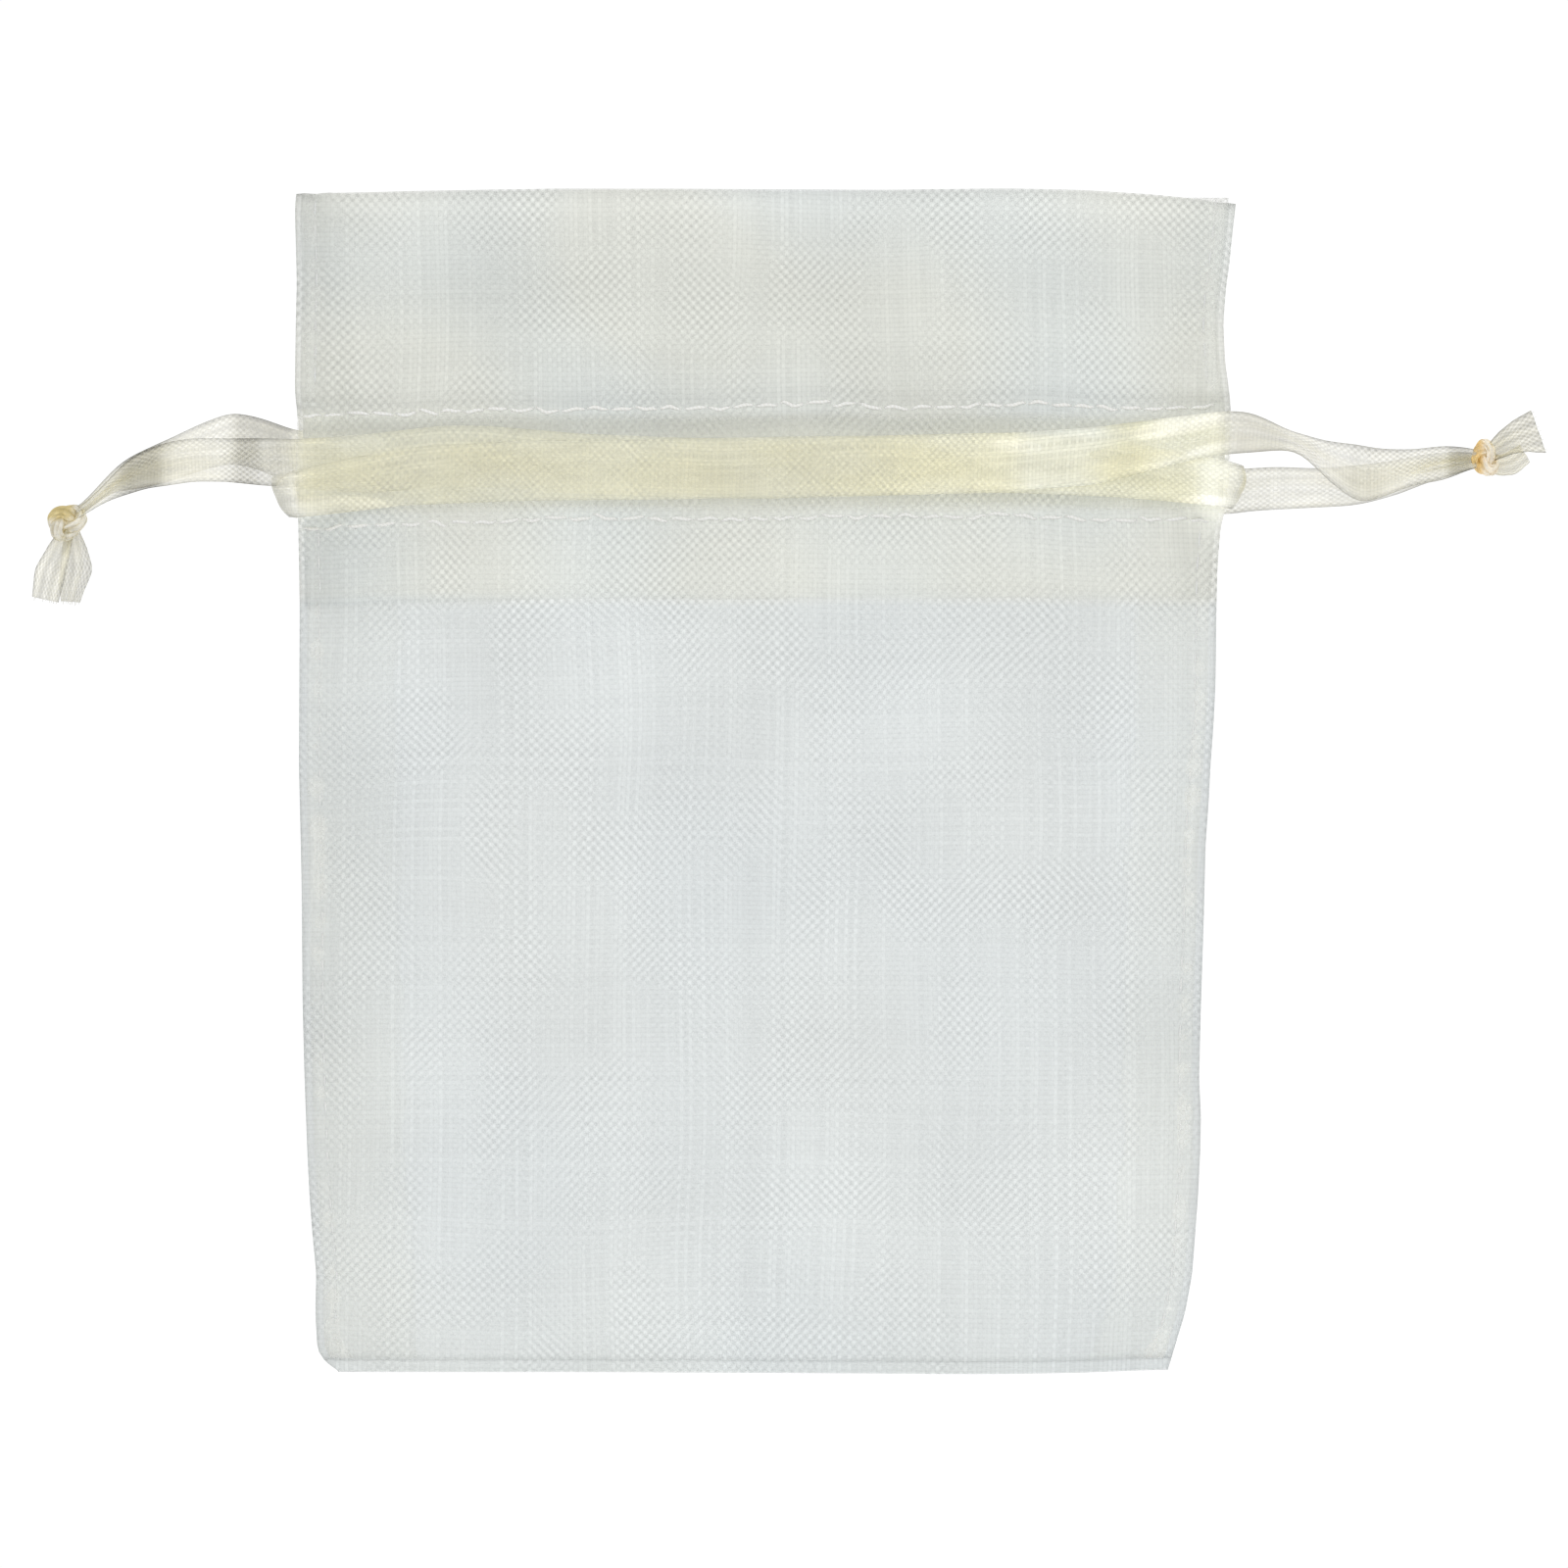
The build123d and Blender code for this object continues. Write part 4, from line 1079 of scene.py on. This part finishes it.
def ribbon_ends(name, flaps, mat, bodies, node, seed, warmth=0.16, depth=1.0):
    """Two loose ends past a knot, bunched where they leave it and opening into pleats, with a slanting cut; returns the
    cut edges, along which loose_threads adds a few threads.
    """
    verts, faces, weave, selv, tone, cuts = [], [], [], [], [], []
    q = np.linspace(-1, 1, NQ)
    for k, (points, widths, folds, cut, shade) in enumerate(flaps):
        c, w, tan, g = flap_sections(points, widths)
        base = len(verts)
        fine = Noise(seed + k, 2.2)
        for i in range(len(c)):
            wd = np.cross(tan[i], (0, 1, 0))
            wd /= np.linalg.norm(wd)
            h = min(0.62, float(ripple_height(np.array(w[i]), folds)) * 0.7)
            shift = cut * q * smooth(g[i] / g[-1]) * w[i] / 2
            for j in range(NQ):
                ph = math.pi * folds * (q[j] + 1) + 0.7 * k + 0.5 * i / len(c)
                a = h * math.sin(ph) + 0.07 * float(fine(g[i], q[j] * 2))
                # tone: painted shade in the fold valleys and on the far side of each fold, darker toward the edges,
                # plus each flap's own shade offset
                tone.append(1.02 - shade - 0.17 * depth * math.cos(ph) ** 2 * min(1, h / 0.3) - 0.10 * max(0, -math.sin(ph)) + 0.05 * float(fine(g[i] * 0.7 + 9, q[j] * 3)) - 0.16 * max(0.0, (abs(q[j]) - 0.86) / 0.14))
                verts.append(c[i] + wd * (w[i] / 2 * q[j]) + tan[i] * shift[j] + np.array((0, 1, 0)) * a)
                weave.append((q[j] * RIBBON_W / 2, g[i], 0))
                selv.append(float(smooth((abs(q[j]) - 0.93) / 0.05)))
        for f in grid_faces(len(c), NQ):
            faces.append([x + base for x in f])
        cuts.append((np.array(verts[-NQ:]), tan[-1]))
    v = np.array(verts)
    ob = mesh_object(name, v, faces, mat, weave, {"selv": np.array(selv)})
    # darker and warmer toward the knot, where the ends are bunched; the darkening is painted shade
    near_knot = np.clip(1 - (np.array(weave)[:, 1] - 0.5) / (1.6 * depth), 0, 1)
    dress(ob, np.array(weave), 0.0, seed % 5, tone_amp=0.04, wobble=0.08, zone=np.array(tone) - 0.12 * near_knot, tint=np.clip(warmth + 0.5 * near_knot, 0, 1))
    side = bodies[0].split("_")[0]
    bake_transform(ob)
    add_thickness(ob, 0.09)
    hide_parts(node)
    return cuts


def loose_threads(name, cuts, body, mat):
    """Short filament ends along the cut edges."""
    r = np.random.default_rng(5)
    paths = []
    for edge, way in cuts:
        count = 9
        for k in range(count):
            t = (k + r.uniform(0.2, 0.8)) / count * (len(edge) - 1)
            i = min(int(t), len(edge) - 2)
            a = edge[i] * (1 - t + i) + edge[i + 1] * (t - i)
            ln = r.uniform(0.10, 0.32)
            bend = r.uniform(-0.12, 0.12, 3) * (1, 0.6, 1)
            pts = [a - way * 0.25 + (way * (ln + 0.25) + bend * u) * u for u in np.linspace(0, 1, 5)]
            paths.append((pts, (0.1, 1, 0.1)))
    v, f, w = stitch_mesh(paths, 0.03, 5)
    ob = mesh_object(name, v, f, mat, w)
    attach(ob, body)
    return ob


lk, rk = L_KNOT, R_KNOT
knot("ribbon_knot_left", lk + (-0.2, 0, 0.15), -1, M_KNOT, "left_tail", "left_knot", 3, 0.5)
knot("ribbon_knot_right", rk + (0.0, 0, -0.1), 1, M_KNOT_R, "right_tail", "right_knot", 8, -0.7, 0.70)
cuts_l = ribbon_ends("ribbon_ends_left", [
    ([lk + (-0.1, -0.35, -0.6), lk + (-0.9, -0.5, -2.6), lk + (-1.9, -0.55, -5.1), lk + (-2.35, -0.5, -7.75)], [1.3, 2.3, 3.1, 2.7], 1.5, 0.05, -0.03),
    ([lk + (0.25, 0.35, -0.6), lk + (0.55, 0.45, -2.6), lk + (0.75, 0.55, -4.6), lk + (0.35, 0.5, -6.2), lk + (0.15, 0.45, -7.95)], [1.4, 2.5, 3.3, 2.7, 1.9], 2.0, -0.05, 0.09)],
    M_RIB_L, ("left_tail", "left_ends"), "left_ribbon_ends", 301, 0.20, 1.5)
cuts_r = ribbon_ends("ribbon_ends_right", [
    ([rk + (0.4, -0.35, 0.2), rk + (2.3, -0.5, 1.5), rk + (3.9, -0.55, 2.2), rk + (5.45, -0.5, 2.55)], [1.5, 2.7, 3.6, 4.5], 2.0, -0.12, 0.07),
    ([rk + (0.3, 0.35, -0.3), rk + (1.5, 0.5, -0.9), rk + (2.7, 0.5, -0.7), rk + (4.1, 0.4, 0.35)], [1.5, 2.0, 2.3, 2.0], 1.5, 0.1, -0.04)],
    M_RIB_R, ("right_tail", "right_ends"), "right_ribbon_ends", 331, 0.52, 1.9)
loose_threads("ribbon_fray_left", cuts_l, "left_ends", M_THREAD)
loose_threads("ribbon_fray_right", cuts_r[:1], "right_ends", M_THREAD)


# ---------------------------------------------------------------- studio
world = bpy.data.worlds.new("studio")
scene.world = world
world.use_nodes = True
wt = Tree(world.node_tree)
world.node_tree.nodes.clear()
wo = wt.new("ShaderNodeOutputWorld")
seen, light = wt.new("ShaderNodeBackground"), wt.new("ShaderNodeBackground")
seen.inputs["Color"].default_value = (1, 1, 1, 1)
seen.inputs["Strength"].default_value = 1.03
light.inputs["Color"].default_value = (1, 1, 1, 1)
light.inputs["Strength"].default_value = 0.595
lp = wt.new("ShaderNodeLightPath")
wm = wt.new("ShaderNodeMixShader")
wt.put(wm.inputs[0], lp.outputs["Is Camera Ray"])
wt.put(wm.inputs[1], light.outputs[0])
wt.put(wm.inputs[2], seen.outputs[0])
wt.put(wo.inputs["Surface"], wm.outputs[0])


def area(name, place, aim, size, power):
    d = bpy.data.lights.new(name, "AREA")
    d.shape, d.size, d.energy = "SQUARE", size, power
    o = bpy.data.objects.new(name, d)
    scene.collection.objects.link(o)
    o.location = place
    o.rotation_euler = (Vector(aim) - Vector(place)).to_track_quat("-Z", "Y").to_euler()
    o.visible_camera = False
    return o


area("key", (-0.45, -0.85, 0.65), (0, 0, 0.07), 0.5, 2.22)
area("fill", (0.55, -0.8, 0.35), (0, 0, 0.07), 0.5, 1.57)
area("rim", (0.35, 0.75, 0.5), (0, 0, 0.07), 0.5, 1.66)

# pale floor that fades out with distance, so that no edge shows from any side
fl = bpy.data.meshes.new("floor")
rings, segs = [0.0, 0.05, 0.1, 0.2, 0.35, 0.5], 64
fv = [(0, 0, 0)] + [(r * math.cos(2 * math.pi * k / segs), r * math.sin(2 * math.pi * k / segs), 0) for r in rings[1:] for k in range(segs)]
ff = [[0, 1 + k, 1 + (k + 1) % segs] for k in range(segs)]
for i in range(len(rings) - 2):
    for k in range(segs):
        a, b = 1 + i * segs + k, 1 + i * segs + (k + 1) % segs
        ff.append([a, a + segs, b + segs, b])
fl.from_pydata(fv, [], ff)
floor = bpy.data.objects.new("floor", fl)
scene.collection.objects.link(floor)
floor.location = (0, 0, -0.0004)
fm = bpy.data.materials.new("floor_paper")
fm.use_nodes = True
ft = Tree(fm.node_tree)
fm.node_tree.nodes.clear()
fo = ft.new("ShaderNodeOutputMaterial")
fd = ft.new("ShaderNodeBsdfDiffuse")
fd.inputs["Color"].default_value = (0.97, 0.97, 0.97, 1)
fe = ft.new("ShaderNodeEmission")
fe.inputs["Strength"].default_value = 0.12
fadd = ft.new("ShaderNodeAddShader")
ft.put(fadd.inputs[0], fd.outputs[0])
ft.put(fadd.inputs[1], fe.outputs[0])
fc = ft.new("ShaderNodeBsdfTransparent")
geo = ft.new("ShaderNodeNewGeometry")
ln_ = ft.new("ShaderNodeVectorMath", operation="LENGTH")
ft.put(ln_.inputs[0], geo.outputs["Position"])
fmx = ft.new("ShaderNodeMixShader")
facing = ft.new("ShaderNodeVectorMath", operation="DOT_PRODUCT")
ft.put(facing.inputs[0], geo.outputs["Incoming"])
ft.put(facing.inputs[1], geo.outputs["Normal"])
ft.put(fmx.inputs[0], ft.mul(ft.step(ln_.outputs["Value"], 0.09, 0.30, 0.9, 0.0), ft.step(ft.m("ABSOLUTE", facing.outputs["Value"]), 0.04, 0.16)))
ft.put(fmx.inputs[1], fc.outputs[0])
ft.put(fmx.inputs[2], fadd.outputs[0])
ft.put(fo.inputs["Surface"], fmx.outputs[0])
fl.materials.append(fm)

cam = bpy.data.cameras.new("camera")
cam.lens, cam.sensor_width = 420.0, 36.0
cam_o = bpy.data.objects.new("camera", cam)
scene.collection.objects.link(cam_o)
FRAME_W = 0.1592
dist = FRAME_W * cam.lens / cam.sensor_width
centre = (cad_lo + cad_hi) / 2
cam_o.location = (centre.x - 0.00075, -dist - DEPTH * MM, centre.z - 0.00025)
cam_o.rotation_euler = (math.radians(90), 0, 0)
cam.clip_start, cam.clip_end = 0.05, 20
scene.camera = cam_o

scene.view_settings.view_transform = "Standard"
scene.view_settings.look = "None"
scene.cycles.transparent_max_bounces = 48
scene.cycles.max_bounces = 8
scene.cycles.diffuse_bounces = 6
scene.cycles.use_denoising = True
scene.cycles.denoiser = "OPENIMAGEDENOISE"
scene.cycles.denoising_input_passes = "RGB_ALBEDO_NORMAL"
scene.cycles.seed = 3
scene.cycles.filter_width = 1.3
